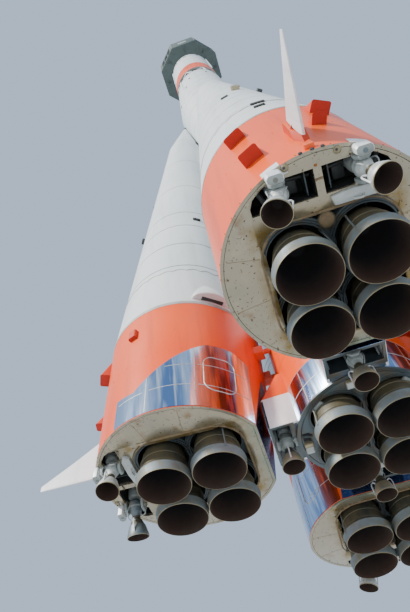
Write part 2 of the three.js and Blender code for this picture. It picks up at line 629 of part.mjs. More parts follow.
for (const [side, angle] of Object.entries(BOOSTER_ANGLES)) {
  const booster = new THREE.Group();
  booster.rotation.z = angle * DEGREE;
  rocket.add(booster);
  piece(`${side}_booster_cone`, boosterCone(), "white", booster);
  piece(`${side}_booster_tail`, boosterTail(), "orange", booster);
  piece(`${side}_booster_base_plate`, boosterPlate(), "plate", booster);
  const engine = mainEngine(BOOSTER_CLUSTER_RADIUS, ENGINE_BAY_TOP - TOUCH);
  piece(`${side}_booster_engine`, engine, "nozzle", booster);
  piece(`${side}_air_rudder`, airRudder(), "white", booster);
}

for (const { booster, side, splay } of BOOSTER_CHAMBERS) {
  const mount = new THREE.Group();
  mount.rotation.z = BOOSTER_ANGLES[booster] * DEGREE;
  rocket.add(mount);
  const hand = side < 0 ? "a" : "b";
  const chamber = piece(`${booster}_steering_chamber_${hand}`, steeringChamber(), "chamber", mount);
  const pivot = new THREE.Vector3(CHAMBER_RADIUS_FROM_CORE, side * CHAMBER_OFFSET, CHAMBER_PIVOT_HEIGHT);
  chamber.position.copy(pivot.multiplyScalar(METRE));
  chamber.rotation.x = side * splay * DEGREE;
}

piece("core_tail", coreTail(), "orange", rocket);
piece("core_base_plate", corePlate(), "plate", rocket);
piece("core_engine", mainEngine(0, CORE_BAY_TOP - TOUCH), "nozzle", rocket);
const lowerTank = frustum(CORE_LOW_RADIUS, CORE_LOW_RADIUS, CORE_TAIL_TOP + TOUCH, CORE_FLARE_START);
piece("core_lower_tank", lowerTank, "white", rocket);
piece("core_upper_tank", upperTank(), "white", rocket);

for (const [side, angle] of Object.entries(BOOSTER_ANGLES)) {
  const mount = new THREE.Group();
  mount.rotation.z = angle * DEGREE;
  rocket.add(mount);
  piece(`core_hanger_${side}`, coreHanger(), "steel", mount);
  const chamber = piece(`core_steering_chamber_${side}`, steeringChamber(), "chamber", mount);
  chamber.position.set(CORE_CHAMBER_RADIUS_FROM_CORE * METRE, 0, CHAMBER_PIVOT_HEIGHT * METRE);
}

piece("lattice_interstage", lattice(), "steel", rocket);
piece("third_stage_engine", upperEngine(), "nozzle", rocket);
piece("third_stage_aft_ring", stageRing(), "orange", rocket);
const stageTank = frustum(STAGE_RADIUS, STAGE_RADIUS, STAGE_RING_TOP + TOUCH, STAGE_TOP);
piece("third_stage_tank", stageTank, "white", rocket);
piece("fairing_skirt", fairingSkirt(), "skirt", rocket);

FIN_ANGLES.forEach((angle, number) => {
  const mount = new THREE.Group();
  mount.rotation.z = angle * DEGREE;
  rocket.add(mount);
  piece(`grid_fin_${number + 1}`, gridFin(), "skirt", mount);
});

piece("fairing", turned(closedOnAxis(FAIRING_OUTLINE), BODY_SIDES), "white", rocket);
piece("escape_tower", turned(closedOnAxis(TOWER_OUTLINE), TOWER_SIDES), "white", rocket);

export default rocket;
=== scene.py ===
import math

import bmesh
import bpy
from mathutils import Matrix, Vector


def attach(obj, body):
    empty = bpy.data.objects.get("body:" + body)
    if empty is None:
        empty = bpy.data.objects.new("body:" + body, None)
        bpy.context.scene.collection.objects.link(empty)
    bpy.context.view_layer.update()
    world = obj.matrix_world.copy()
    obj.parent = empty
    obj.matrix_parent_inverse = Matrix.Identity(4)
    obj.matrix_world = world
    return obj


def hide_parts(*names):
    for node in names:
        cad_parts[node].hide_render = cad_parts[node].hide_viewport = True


# The looks of a half-scale space rocket: fine meshes and finishes round its fixed frame.
# Shapes are given in metres of the real rocket, and MODEL turns them into model metres.

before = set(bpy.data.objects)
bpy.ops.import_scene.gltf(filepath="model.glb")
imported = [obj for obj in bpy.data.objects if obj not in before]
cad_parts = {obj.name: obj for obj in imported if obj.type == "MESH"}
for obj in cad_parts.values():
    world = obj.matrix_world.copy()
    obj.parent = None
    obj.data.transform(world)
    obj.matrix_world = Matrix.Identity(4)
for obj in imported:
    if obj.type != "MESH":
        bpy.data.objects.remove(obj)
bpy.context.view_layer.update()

MODEL = 0.5
DEGREE = math.pi / 180
# The gap at each end of a stacked piece, and the turn in degrees up to which an edge is smooth
GAP = 0.001
SMOOTH_TURN = 32
BOOSTER_ANGLES = {"right": 0, "far": 90, "left": 180, "front": 270}

# Main nozzles: the signs and the places of a cluster of four
NOZZLE_HALF_PITCH = 0.394
CLUSTER = [(-1, -1), (-1, 1), (1, -1), (1, 1)]
NOZZLES = [(i * NOZZLE_HALF_PITCH, j * NOZZLE_HALF_PITCH) for i, j in CLUSTER]

# Booster: its leaning frame stands on the middle of the tail's foot, +X pointing out
BOOSTER_LEAN = 0.063
BASE_RADIUS = 2.686
BASE_HEIGHT = 0.467
CLUSTER_RADIUS = 2.533
TAIL_FOOT = 1.341
TAIL_TOP = 1.375
TAIL_LENGTH = 2.45
CONE_TOP_LENGTH = 15.4
CONE_TOP = 0.66
NOSE_LENGTH = 19.6
NOSE_TIP = 0.05
FLAT_FOOT = 1.186
FLAT_HEIGHT = 1.6
PLATE_RADIUS = 1.296
PLATE_FLAT = 1.142
PLATE_THICKNESS = 0.05
BAY_TOP = 1.298
RUDDER_HEIGHT = 1.25
TIE_SIDE = 0.3
TIE_HEIGHT = 2.25

# Steering chambers
CHAMBER_LENGTH = 0.46
CHAMBER_PIVOT = 0.502
CHAMBER_OUT = 3.69
CHAMBER_SIDE = 0.455
CORE_CHAMBER_OUT = 1.175
SPLAY = {
    ("front", -1): 14.5, ("front", 1): 10.7,
    ("left", -1): 17.6, ("left", 1): 13.1,
    ("far", -1): 14, ("far", 1): 17.4,
    ("right", -1): 14, ("right", 1): 14,
}

# Core, third stage and fairing
CORE_LOW = 1.025
CORE_WIDE = 1.475
CORE_TOP_RADIUS = 1.33
CORE_TAIL_TOP = 2.9
FLARE_START = 16.0
FLARE_END = 20.9
CORE_TOP = 26.7
STAGE_RADIUS = 1.33
RING_FOOT = 27.8
RING_TOP = 29.8
STAGE_TOP = 34.3
FAIRING_RADIUS = 1.498
TANK_SIDES = 128
CORE_SIDES = 144

# Camera: the photograph's place and aim, in model metres and degrees
CAMERA_PLACE = (-0.5497, -2.9125, -2.2615)
CAMERA_TURN = (147.799, 5.439, 17.394)
CAMERA_LENS = 29.76
SENSOR = 36.0
VIEW_REACH = 500
FLOOR_DROP = 0.02
FLOOR_REACH = 240

# Light
SUN_STRENGTH = 6.6
SUN_WIDTH = 7
SUN_COLOR = (1.0, 0.96, 0.875)
SUN_SIDE = (-0.6, -0.64, 0.48)
SKY_STRENGTH = 0.85
SKY_COLOR = (0.62, 0.77, 0.98, 1)


# Places

def spin(angle):
    """A turn about Z by degrees."""
    return Matrix.Rotation(angle * DEGREE, 4, "Z")


def move(x, y, z):
    return Matrix.Translation((x, y, z))


def quarter(x):
    """Carries X and Y of an outline to Y and Z, and its height to X from x on."""
    return Matrix(((0, 0, 1, x), (1, 0, 0, 0), (0, 1, 0, 0), (0, 0, 0, 1)))


IDENTITY = Matrix.Identity(4)
# Carries X and Y of an outline to X and Z, and its height to -Y
UPRIGHT = Matrix(((1, 0, 0, 0), (0, 0, -1, 0), (0, 1, 0, 0), (0, 0, 0, 1)))
Z_TO_X = Matrix.Rotation(90 * DEGREE, 4, "Y")
UPSIDE_DOWN = Matrix.Rotation(math.pi, 4, "X")


def leaned(angle):
    """The leaning frame of the booster at an angle, its origin at the middle of the tail's foot."""
    return spin(angle) @ move(BASE_RADIUS, 0, BASE_HEIGHT) @ Matrix.Rotation(-BOOSTER_LEAN, 4, "Y")


# Outlines

def polar(radius, turn, *height):
    """A point at a radius and a turn in radians."""
    return (radius * math.cos(turn), radius * math.sin(turn), *height)


def circle(radius, sides, x=0.0, y=0.0):
    return [(x + px, y + py) for px, py in (polar(radius, math.tau * i / sides) for i in range(sides))]


def cut_circle(radius, flat, steps):
    """A circle with one side cut off at x = -flat, from one end of the cut to the other."""
    half = math.acos(min(flat / radius, 1.0))
    arc = 2 * (math.pi - half)
    return [polar(radius, half - math.pi + arc * i / steps) for i in range(steps + 1)]


def rectangle(x0, x1, y0, y1):
    return [(x0, y0), (x1, y0), (x1, y1), (x0, y1)]


def rounded(x0, x1, y0, y1, corner, sides=48, phase=0.0):
    """A rectangle with rounded corners."""
    points = []
    for i in range(sides):
        x, y = polar(1.0, math.tau * (i + phase) / sides)
        points.append(((x0 + corner if x < 0 else x1 - corner) + corner * x,
                       (y0 + corner if y < 0 else y1 - corner) + corner * y))
    return points


def mirrored(outline, sign):
    """An outline on the side of Y that the sign says."""
    return [(x, sign * y) for x, y in outline]


def smooth_path(points, steps=6):
    """A curve through points, for a bent pipe."""
    points = [Vector(point) for point in points]
    ends = [2 * points[0] - points[1], *points, 2 * points[-1] - points[-2]]
    path = []
    for a, b, c, d in zip(ends, ends[1:], ends[2:], ends[3:]):
        for i in range(steps):
            t = i / steps
            path.append(0.5 * (2 * b + (c - a) * t + (2 * a - 5 * b + 4 * c - d) * t ** 2
                               + (3 * b - a - 3 * c + d) * t ** 3))
    return [*path, points[-1]]


def seamed(radius_at, low, high, seams, paint, depth=0.008):
    """Corners and paints of a skin from low to high with a shallow groove at each seam."""
    corners = [(radius_at(low), low)]
    paints = []
    for seam in seams:
        for offset, dip, name in ((-0.016, 0.0, paint), (-0.008, depth, "seam"), (0.008, depth, "seam"),
                                  (0.016, 0.0, "seam")):
            corners.append((radius_at(seam + offset) - dip, seam + offset))
            paints.append(name)
    corners.append((radius_at(high), high))
    return corners, [*paints, paint]


def put(name, data):
    """Makes an object and puts it in the scene."""
    thing = bpy.data.objects.new(name, data)
    bpy.context.scene.collection.objects.link(thing)
    return thing


class Shape:
    """Faces in real metres, each with its paint, gathered into one piece."""

    def __init__(self):
        self.corners = []
        self.faces = []
        self.paints = []

    def add(self, corners, faces, paints, place=IDENTITY):
        start = len(self.corners)
        self.corners += [place @ Vector(corner) for corner in corners]
        self.faces += [[start + i for i in face] for face in faces]
        self.paints += [paints] * len(faces) if isinstance(paints, str) else paints

    def skin(self, rows, paint, place=IDENTITY, closed=False):
        """Joins closed rows of one point or of equally many, and when closed the last row to the first.
        paint is one name, or one for each stretch between two rows."""
        corners = []
        numbers = []
        for row in rows:
            numbers.append(range(len(corners), len(corners) + len(row)))
            corners += row
        pairs = list(zip(numbers, numbers[1:]))
        if closed:
            pairs.append((numbers[-1], numbers[0]))
        faces = []
        paints = []
        for number, (low, high) in enumerate(pairs):
            count = max(len(low), len(high))
            for i in range(count):
                j = (i + 1) % count
                ring = [low[i % len(low)], low[j % len(low)], high[j % len(high)], high[i % len(high)]]
                faces.append(list(dict.fromkeys(ring)))
                paints.append(paint if isinstance(paint, str) else paint[number])
        self.add(corners, faces, paints, place)

    def stack(self, rows, paint, place=IDENTITY, ends=None):
        """Joins closed rows of equally many points into a solid. Its flat ends may have their own paint."""
        count = len(rows[0])
        faces = [range(count), range(2 * count - 1, count - 1, -1)]
        self.add([*rows[0], *rows[-1]], faces, ends or paint, place)
        self.skin(rows, paint, place)

    def lathe(self, profile, paint, place=IDENTITY, sides=64, closed=False):
        """Turns [radius, height] corners round Z. paint is as in skin."""
        rows = []
        for radius, height in profile:
            count = sides if radius > 1e-6 else 1
            rows.append([polar(radius, math.tau * i / sides, height) for i in range(count)])
        self.skin(rows, paint, place, closed)

    def rod(self, radius, low, high, paint, place=IDENTITY, sides=20):
        """A solid cylinder round Z."""
        self.lathe([(0, low), (radius, low), (radius, high), (0, high)], paint, place, sides)

    def ring(self, inner, outer, low, high, paint, place=IDENTITY, sides=20):
        """A square-edged ring round Z."""
        self.lathe([(inner, low), (outer, low), (outer, high), (inner, high)], paint, place, sides, True)

    def mesh(self, source, paint, place=IDENTITY):
        """Takes the faces of a bmesh, and frees it."""
        source.verts.index_update()
        corners = [vertex.co.copy() for vertex in source.verts]
        faces = [[vertex.index for vertex in face.verts] for face in source.faces]
        source.free()
        self.add(corners, faces, paint, place)

    def prism(self, outline, low, high, paint, place=IDENTITY, bevel=0.008):
        """A flat outline in X and Y, raised from low to high, with bevelled edges."""
        source = bmesh.new()
        face = source.faces.new([source.verts.new((x, y, low)) for x, y in outline])
        raised = bmesh.ops.extrude_face_region(source, geom=[face])["geom"]
        tops = [item for item in raised if isinstance(item, bmesh.types.BMVert)]
        bmesh.ops.translate(source, vec=(0, 0, high - low), verts=tops)
        if bevel:
            edges = source.edges[:]
            bmesh.ops.bevel(source, geom=edges, offset=bevel, segments=2, affect="EDGES", profile=0.6)
        self.mesh(source, paint, place)

    def box(self, x, y, z, paint, place=IDENTITY, bevel=0.008):
        """A box between two ends each way. Those of Y may come in any order."""
        self.prism(rectangle(*x, *sorted(y)), *z, paint, place, bevel)

    def tube(self, points, radius, paint, place=IDENTITY, sides=10):
        """A round bar or pipe along points."""
        points = [Vector(point) for point in points]
        turns = [math.tau * i / sides for i in range(sides)]
        side = (points[1] - points[0]).normalized().orthogonal().normalized()
        rows = []
        for number, point in enumerate(points):
            before = points[max(number - 1, 0)]
            after = points[min(number + 1, len(points) - 1)]
            along = (after - before).normalized()
            side = (side - along * side.dot(along)).normalized()
            other = along.cross(side)
            rows.append([point + radius * (side * math.cos(turn) + other * math.sin(turn)) for turn in turns])
        self.stack(rows, paint, place)

    def sheet(self, loops, low, high, paint, place=IDENTITY, bevel=0.006):
        """A flat plate from low to high whose first loop is its outline and whose others are holes."""
        curve = bpy.data.curves.new("outline", "CURVE")
        curve.dimensions = "2D"
        curve.fill_mode = "BOTH"
        curve.extrude = (high - low) / 2 - bevel
        curve.bevel_depth = bevel
        curve.bevel_resolution = 1
        curve.offset = -bevel
        for loop in loops:
            spline = curve.splines.new("POLY")
            spline.points.add(len(loop) - 1)
            for point, (x, y) in zip(spline.points, loop):
                point.co = (x, y, 0, 1)
            spline.use_cyclic_u = True
        holder = put("outline", curve)
        source = bmesh.new()
        source.from_mesh(holder.to_mesh())
        bpy.data.objects.remove(holder)
        bmesh.ops.translate(source, vec=(0, 0, (low + high) / 2), verts=source.verts)
        bmesh.ops.remove_doubles(source, verts=source.verts, dist=1e-5)
        self.mesh(source, paint, place)

    def bolts(self, places, radius, paint, place=IDENTITY):
        """Six-sided bolt heads, each pointing along the Z axis of its place."""
        profile = [(0, 0.6), (0.75, 0.6), (1, 0.3), (1, -0.3)]
        for at in places:
            self.lathe([(radius * x, radius * z) for x, z in profile], paint, place @ at, 6)

    def build(self, name, body, slot, *nodes):
        """Makes the piece in model metres, rides it on its body and hides the nodes it stands for."""
        names = sorted(set(self.paints))
        mesh = bpy.data.meshes.new(name)
        mesh.from_pydata([corner * MODEL for corner in self.corners], [], self.faces)
        for paint in names:
            mesh.materials.append(MATERIALS[paint])
        source = bmesh.new()
        source.from_mesh(mesh)
        for face, paint in zip(source.faces, self.paints):
            face.material_index = names.index(paint)
            face.smooth = True
        bmesh.ops.remove_doubles(source, verts=source.verts, dist=1e-6)
        bmesh.ops.recalc_face_normals(source, faces=source.faces)
        for edge in source.edges:
            edge.smooth = len(edge.link_faces) == 2 and edge.calc_face_angle() < SMOOTH_TURN * DEGREE
        source.to_mesh(mesh)
        source.free()
        piece = put(name, mesh)
        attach(piece, body)
        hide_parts(*nodes)


# Finishes

NOISE_ROUGHNESS = 0.55


class Finish:
    """A material built up from layers of noise over a base colour."""

    def __init__(self, name, color, roughness, metallic=0.0, specular=0.5):
        self.material = bpy.data.materials.new(name)
        self.material.use_nodes = True
        self.tree = self.material.node_tree
        self.shader = self.tree.nodes["Principled BSDF"]
        self.first = (*color, 1)
        for socket, value in (("Base Color", self.first), ("Roughness", roughness), ("Metallic", metallic),
                              ("Specular IOR Level", specular)):
            self.shader.inputs[socket].default_value = value
        self.place = self.node("ShaderNodeTexCoord").outputs["Object"]
        self.color = None
        self.height = None

    def node(self, kind, **values):
        node = self.tree.nodes.new(kind)
        for key, value in values.items():
            setattr(node, key, value)
        return node

    def link(self, start, end):
        self.tree.links.new(start, end)

    def noise(self, scale, stretch=(1, 1, 1), detail=4.0):
        """Noise from 0 to 1, its cells 1/scale model metres wide, drawn out by stretch."""
        mapping = self.node("ShaderNodeMapping")
        mapping.inputs["Scale"].default_value = [scale / s for s in stretch]
        self.link(self.place, mapping.inputs["Vector"])
        noise = self.node("ShaderNodeTexNoise")
        for socket, value in (("Scale", 1.0), ("Detail", detail), ("Roughness", NOISE_ROUGHNESS)):
            noise.inputs[socket].default_value = value
        self.link(mapping.outputs["Vector"], noise.inputs["Vector"])
        return noise.outputs["Fac"]

    def along(self, axis):
        """The place along X, Y or Z, in model metres."""
        split = self.node("ShaderNodeSeparateXYZ")
        self.link(self.place, split.inputs["Vector"])
        return split.outputs[axis]

    def range(self, value, low, high, to=(0.0, 1.0)):
        """Carries low and high to the two ends of a range, and stops there."""
        step = self.node("ShaderNodeMapRange")
        for socket, number in zip(step.inputs[1:5], (low, high, *to)):
            socket.default_value = number
        self.link(value, step.inputs[0])
        return step.outputs[0]

    def math(self, operation, first, second=None):
        step = self.node("ShaderNodeMath", operation=operation)
        self.link(first, step.inputs[0])
        if second is not None:
            self.link(second, step.inputs[1])
        return step.outputs[0]

    def times(self, first, second):
        return self.math("MULTIPLY", first, second)

    def tint(self, factor, color):
        """Mixes in a colour where the factor is high."""
        mix = self.node("ShaderNodeMix", data_type="RGBA")
        self.link(factor, mix.inputs["Factor"])
        sockets = [socket for socket in mix.inputs if socket.type == "RGBA"]
        if self.color is None:
            sockets[0].default_value = self.first
        else:
            self.link(self.color, sockets[0])
        sockets[1].default_value = (*color, 1)
        self.color = [socket for socket in mix.outputs if socket.type == "RGBA"][0]
        self.link(self.color, self.shader.inputs["Base Color"])

    def cloud(self, scale, low, high, share, color, stretch=(1, 1, 1), detail=4.0):
        """Mixes in a share of a colour where noise is high."""
        self.tint(self.range(self.noise(scale, stretch, detail), low, high, (0.0, share)), color)

    def rough(self, factor, low, high):
        self.link(self.range(factor, 0.0, 1.0, (low, high)), self.shader.inputs["Roughness"])

    def bump(self, factor, distance):
        bump = self.node("ShaderNodeBump")
        bump.inputs["Strength"].default_value = 1.0
        bump.inputs["Distance"].default_value = distance
        self.link(factor, bump.inputs["Height"])
        if self.height is not None:
            self.link(self.height, bump.inputs["Normal"])
        self.height = bump.outputs["Normal"]
        self.link(self.height, self.shader.inputs["Normal"])


def sheet_paint(name, color, faded, stain, roughness):
    """Weathered paint on sheet metal: faded clouds, upright streaks and small rusty chips."""
    finish = Finish(name, color, roughness)
    clouds = finish.noise(1.6, (1, 1, 1.6))
    chips = finish.noise(38.0, (1, 1, 1.8), 2.0)
    finish.tint(finish.range(clouds, 0.35, 0.75, (0.0, 0.8)), faded)
    finish.cloud(9.0, 0.52, 0.8, 0.45, stain, (1, 1, 14), 3.0)
    speckle = finish.times(finish.range(chips, 0.7, 0.76), finish.range(finish.noise(4.0), 0.45, 0.6))
    finish.tint(speckle, stain)
    finish.rough(clouds, roughness - 0.12, roughness + 0.14)
    finish.bump(finish.noise(2.5, (1, 1, 2)), 0.004)
    finish.bump(speckle, 0.0006)
    return finish.material


def metal(name, color, stain, roughness, metallic, scale=12.0):
    """Bare or heat-stained metal with blotches and fine scratches."""
    finish = Finish(name, color, roughness, metallic)
    scratches = finish.noise(scale * 8, (1, 1, 8), 3.0)
    finish.cloud(scale, 0.45, 0.72, 0.85, stain)
    finish.rough(scratches, roughness - 0.12, roughness + 0.18)
    finish.bump(scratches, 0.0004)
    return finish.material


def base_plate_finish():
    """Dusty olive-beige sheet, stained round the cluster's opening and glossy enough to mirror the bells."""
    finish = Finish("base_plate", (0.35, 0.315, 0.235), 0.2, 0.6)
    across = finish.math("ABSOLUTE", finish.along("X"))
    along = finish.math("ABSOLUTE", finish.along("Y"))
    out = finish.math("MAXIMUM", across, along)
    side = finish.math("MINIMUM", across, along)
    centre = finish.node("ShaderNodeValue").outputs[0]
    centre.default_value = CLUSTER_RADIUS * MODEL
    reach = finish.math("MAXIMUM", finish.math("ABSOLUTE", finish.math("SUBTRACT", out, centre)), side)
    finish.cloud(3.2, 0.4, 0.68, 0.8, (0.29, 0.275, 0.22))
    finish.cloud(11.0, 0.56, 0.74, 0.6, (0.42, 0.37, 0.27))
    inner = finish.times(finish.range(out, 0.86, 0.76), finish.range(finish.noise(5.0), 0.3, 0.6))
    finish.tint(inner, (0.22, 0.25, 0.19))
    stained = finish.times(finish.range(reach, 0.47, 0.39), finish.range(finish.noise(10.0), 0.36, 0.56))
    finish.tint(stained, (0.22, 0.155, 0.055))
    finish.cloud(6.0, 0.6, 0.74, 0.75, (0.2, 0.11, 0.045), detail=6.0)
    finish.cloud(60.0, 0.64, 0.7, 1.0, (0.07, 0.055, 0.04), detail=2.0)
    finish.rough(finish.noise(9.0), 0.08, 0.34)
    finish.bump(finish.noise(3.0), 0.003)
    finish.bump(finish.noise(60.0), 0.0003)
    return finish.material


def painted_reflection_finish():
    """Polished sheet with a painted reflection: its blue base and its dark blue and white upright streaks
    stand for mirrored sky and sun, with soft upright dents.
    """
    finish = Finish("polished_metal", (0.5, 0.63, 0.82), 0.14, 1.0)
    # Painted reflection: dark blue streaks of mirrored sky and white streaks of mirrored sunlight
    finish.cloud(6.0, 0.42, 0.56, 0.9, (0.13, 0.25, 0.5), (1, 1, 9))
    finish.cloud(26.0, 0.52, 0.7, 0.8, (0.94, 0.95, 0.97), (1, 1, 16), 2.0)
    finish.rough(finish.noise(16.0, (1, 1, 9)), 0.07, 0.26)
    finish.bump(finish.noise(4.5, (1, 1, 6), 2.0), 0.014)
    finish.bump(finish.noise(40.0, (1, 1, 10), 2.0), 0.0005)
    return finish.material


def inside_finish():
    """Near-black inside of a bell, browner towards its rim."""
    finish = Finish("bell_inside", (0.009, 0.009, 0.011), 0.75, specular=0.3)
    rim = finish.range(finish.along("Z"), 0.2, 0.0)
    finish.tint(rim, (0.04, 0.02, 0.013))
    finish.tint(finish.times(rim, finish.range(finish.noise(9.0), 0.45, 0.7)), (0.035, 0.026, 0.02))
    finish.rough(finish.noise(20.0), 0.6, 0.9)
    finish.bump(finish.noise(26.0), 0.001)
    return finish.material


# Colours of the paint, of its faded clouds and of its stains, and its roughness
SHEET_PAINTS = {
    "orange_paint": ((0.8, 0.085, 0.005), (0.82, 0.12, 0.018), (0.36, 0.045, 0.008), 0.34),
    "shade_orange": ((0.52, 0.03, 0.001), (0.55, 0.045, 0.003), (0.25, 0.02, 0.002), 0.6),
    "white_paint": ((0.67, 0.71, 0.73), (0.56, 0.62, 0.65), (0.42, 0.44, 0.43), 0.4),
    # Dark red for the rudder bearing rings and the aft ring's foot, and painted shade on the tail scoops'
    # downward foot faces
    "red_paint": ((0.36, 0.012, 0.001), (0.4, 0.02, 0.002), (0.13, 0.008, 0.002), 0.65),
    "skirt_paint": ((0.05, 0.075, 0.075), (0.07, 0.098, 0.096), (0.025, 0.03, 0.026), 0.6),
    "rudder_paint": ((0.72, 0.74, 0.76), (0.64, 0.66, 0.7), (0.4, 0.4, 0.4), 0.45),
}
# Colours of the metal and of its blotches, its roughness, how metallic it is, and the blotches' scale
METALS = {
    "seam": ((0.36, 0.385, 0.39), (0.27, 0.28, 0.27), 0.6, 0.1),
    "stained_lip": ((0.2, 0.15, 0.085), (0.09, 0.05, 0.025), 0.75, 0.1, 20.0),
    "shroud": ((0.075, 0.1, 0.115), (0.075, 0.06, 0.035), 0.45, 0.5, 15.0),
    "bell_collar": ((0.17, 0.205, 0.22), (0.17, 0.14, 0.075), 0.56, 0.35, 10.0),
    "bell_edge": ((0.27, 0.23, 0.14), (0.2, 0.21, 0.2), 0.5, 0.4, 16.0),
    "bell_neck": ((0.115, 0.1, 0.06), (0.05, 0.06, 0.06), 0.5, 0.45, 9.0),
    "core_plate": ((0.085, 0.115, 0.13), (0.14, 0.095, 0.05), 0.32, 0.55, 9.0),
    "bright_sheet": ((0.84, 0.86, 0.88), (0.72, 0.77, 0.83), 0.35, 0.35, 6.0),
    "blue_grey": ((0.13, 0.17, 0.2), (0.2, 0.19, 0.15), 0.45, 0.4),
    "dark_sheet": ((0.05, 0.08, 0.16), (0.1, 0.14, 0.24), 0.2, 0.9, 5.0),
    "rust": ((0.3, 0.1, 0.015), (0.12, 0.05, 0.015), 0.8, 0.0, 40.0),
    "cowl_paint": ((0.5, 0.55, 0.56), (0.36, 0.38, 0.36), 0.5, 0.1, 14.0),
    "grey_paint": ((0.3, 0.34, 0.34), (0.19, 0.21, 0.2), 0.55, 0.15, 14.0),
    "warm_metal": ((0.4, 0.34, 0.22), (0.2, 0.22, 0.23), 0.42, 0.5, 10.0),
    "pale_metal": ((0.56, 0.6, 0.61), (0.33, 0.3, 0.22), 0.4, 0.4, 18.0),
    "dark_steel": ((0.055, 0.062, 0.065), (0.03, 0.028, 0.025), 0.55, 0.5, 14.0),
    # Near-black painted shade for the dark insides of pits, vents and openings
    "dark_hole": ((0.014, 0.016, 0.018), (0.008, 0.008, 0.008), 0.8, 0.0, 10.0),
}
MATERIALS = {
    "base_plate": base_plate_finish(),
    "bell_inside": inside_finish(),
    "polished_metal": painted_reflection_finish(),
    **{name: sheet_paint(name, *values) for name, values in SHEET_PAINTS.items()},
    **{name: metal(name, *values) for name, values in METALS.items()},
}


# Camera, floor and light come first

def camera_and_stage():
    lens = bpy.data.cameras.new("photo_camera")
    lens.lens = CAMERA_LENS
    lens.sensor_width = SENSOR
    lens.clip_end = VIEW_REACH
    camera = put("photo_camera", lens)
    camera.location = CAMERA_PLACE
    camera.rotation_euler = [angle * DEGREE for angle in CAMERA_TURN]
    bpy.context.scene.camera = camera

    pale = Finish("pale_floor", (0.74, 0.735, 0.72), 0.8)
    pale.cloud(0.6, 0.3, 0.7, 0.5, (0.69, 0.69, 0.68))
    floor_mesh = bpy.data.meshes.new("floor")
    height = CAMERA_PLACE[2] - FLOOR_DROP
    corners = [(x, y, height) for x, y in rectangle(-FLOOR_REACH, FLOOR_REACH, -FLOOR_REACH, FLOOR_REACH)]
    floor_mesh.from_pydata(corners, [], [(0, 1, 2, 3)])
    floor_mesh.materials.append(pale.material)
    floor = put("floor", floor_mesh)

    sun = bpy.data.lights.new("key_light", "SUN")
    sun.energy = SUN_STRENGTH
    sun.angle = SUN_WIDTH * DEGREE
    sun.color = SUN_COLOR
    key = put("key_light", sun)
    key.rotation_euler = Vector(SUN_SIDE).to_track_quat("Z", "Y").to_euler()

    world = bpy.data.worlds.new("studio")
    world.use_nodes = True
    sky = world.node_tree.nodes["Background"]
    sky.inputs["Color"].default_value = SKY_COLOR
    sky.inputs["Strength"].default_value = SKY_STRENGTH
    bpy.context.scene.world = world


camera_and_stage()


def each_booster(make):
    for side, angle in BOOSTER_ANGLES.items():
        make(side, angle)


# Main engines: four bells each, with a collar at the exit and a side pipe

BELL_OUTSIDE = [
    (0.37, 0.0), (0.374, 0.002), (0.376, 0.008), (0.38, 0.05), (0.386, 0.115), (0.391, 0.13),
    (0.388, 0.142), (0.378, 0.148), (0.352, 0.152), (0.345, 0.16), (0.341, 0.2), (0.347, 0.206),
    (0.347, 0.228), (0.339, 0.234), (0.334, 0.3), (0.328, 0.34), (0.334, 0.346), (0.334, 0.362),
    (0.324, 0.37), (0.318, 0.42), (0.296, 0.52), (0.25, 0.68), (0.2, 0.84), (0.2, 0.98),
]
BELL_INSIDE = [
    (0.368, 0.001), (0.355, 0.03), (0.34, 0.1), (0.318, 0.22), (0.28, 0.36), (0.23, 0.5), (0.17, 0.62),
    (0.12, 0.68), (0.0, 0.7),
]
EDGE_STRETCHES = 3
COLLAR_STRETCHES = 6
SIDE_PIPE = [(0.381, 0, 0.1), (0.384, 0, 0.16), (0.374, 0, 0.26), (0.362, 0, 0.42), (0.34, 0, 0.6)]
SIDE_PIPE_TURNS = [215, 120, 60, 325]


def main_bell(shape, place, pipe_place):
    paints = ["bell_neck"] * (len(BELL_OUTSIDE) - COLLAR_STRETCHES - EDGE_STRETCHES + 1)
    paints += ["bell_collar"] * COLLAR_STRETCHES + ["bell_edge"] * EDGE_STRETCHES
    paints += ["bell_inside"] * (len(BELL_INSIDE) - 1)
    shape.lathe([(0.0, 0.98), *reversed(BELL_OUTSIDE), *BELL_INSIDE], paints, place, 72)
    shape.tube(smooth_path(SIDE_PIPE), 0.011, "bell_collar", pipe_place, 8)
    shape.box((0.37, 0.395), (-0.018, 0.018), (0.1, 0.142), "bell_collar", pipe_place, 0.004)


def engine(name, place, node):
    shape = Shape()
    for nozzle, turn in zip(NOZZLES, SIDE_PIPE_TURNS):
        at = place @ move(*nozzle, 0)
        main_bell(shape, at, at @ spin(turn))
    shape.box((-0.6, 0.6), (-0.6, 0.6), (0.97, 1.1), "dark_steel", place, 0.02)
    shape.rod(0.3, 1.0, BAY_TOP, "dark_steel", place, 32)
    shape.build(name, "root", "bell_metal", node)


for side, angle in BOOSTER_ANGLES.items():
    engine(f"{side}_booster_bells", spin(angle) @ move(CLUSTER_RADIUS, 0, 0), f"{side}_booster_engine")
engine("core_bells", IDENTITY, "core_engine")


# Booster skin: round, with a flat that faces the core

ARC_STEPS = 128
FLAT_STEPS = 12
PATCH_STEPS = 10


def tail_radius(along):
    return TAIL_FOOT + (TAIL_TOP - TAIL_FOOT) * along / TAIL_LENGTH


def tail_flat(along):
    return FLAT_FOOT + (TAIL_TOP - FLAT_FOOT) * along / FLAT_HEIGHT


def cone_radius(along):
    if along < CONE_TOP_LENGTH:
        share = (along - TAIL_LENGTH) / (CONE_TOP_LENGTH - TAIL_LENGTH)
        return TAIL_TOP + (CONE_TOP - TAIL_TOP) * share
    share = (along - CONE_TOP_LENGTH) / (NOSE_LENGTH - CONE_TOP_LENGTH)
    return CONE_TOP + (NOSE_TIP - CONE_TOP) * share


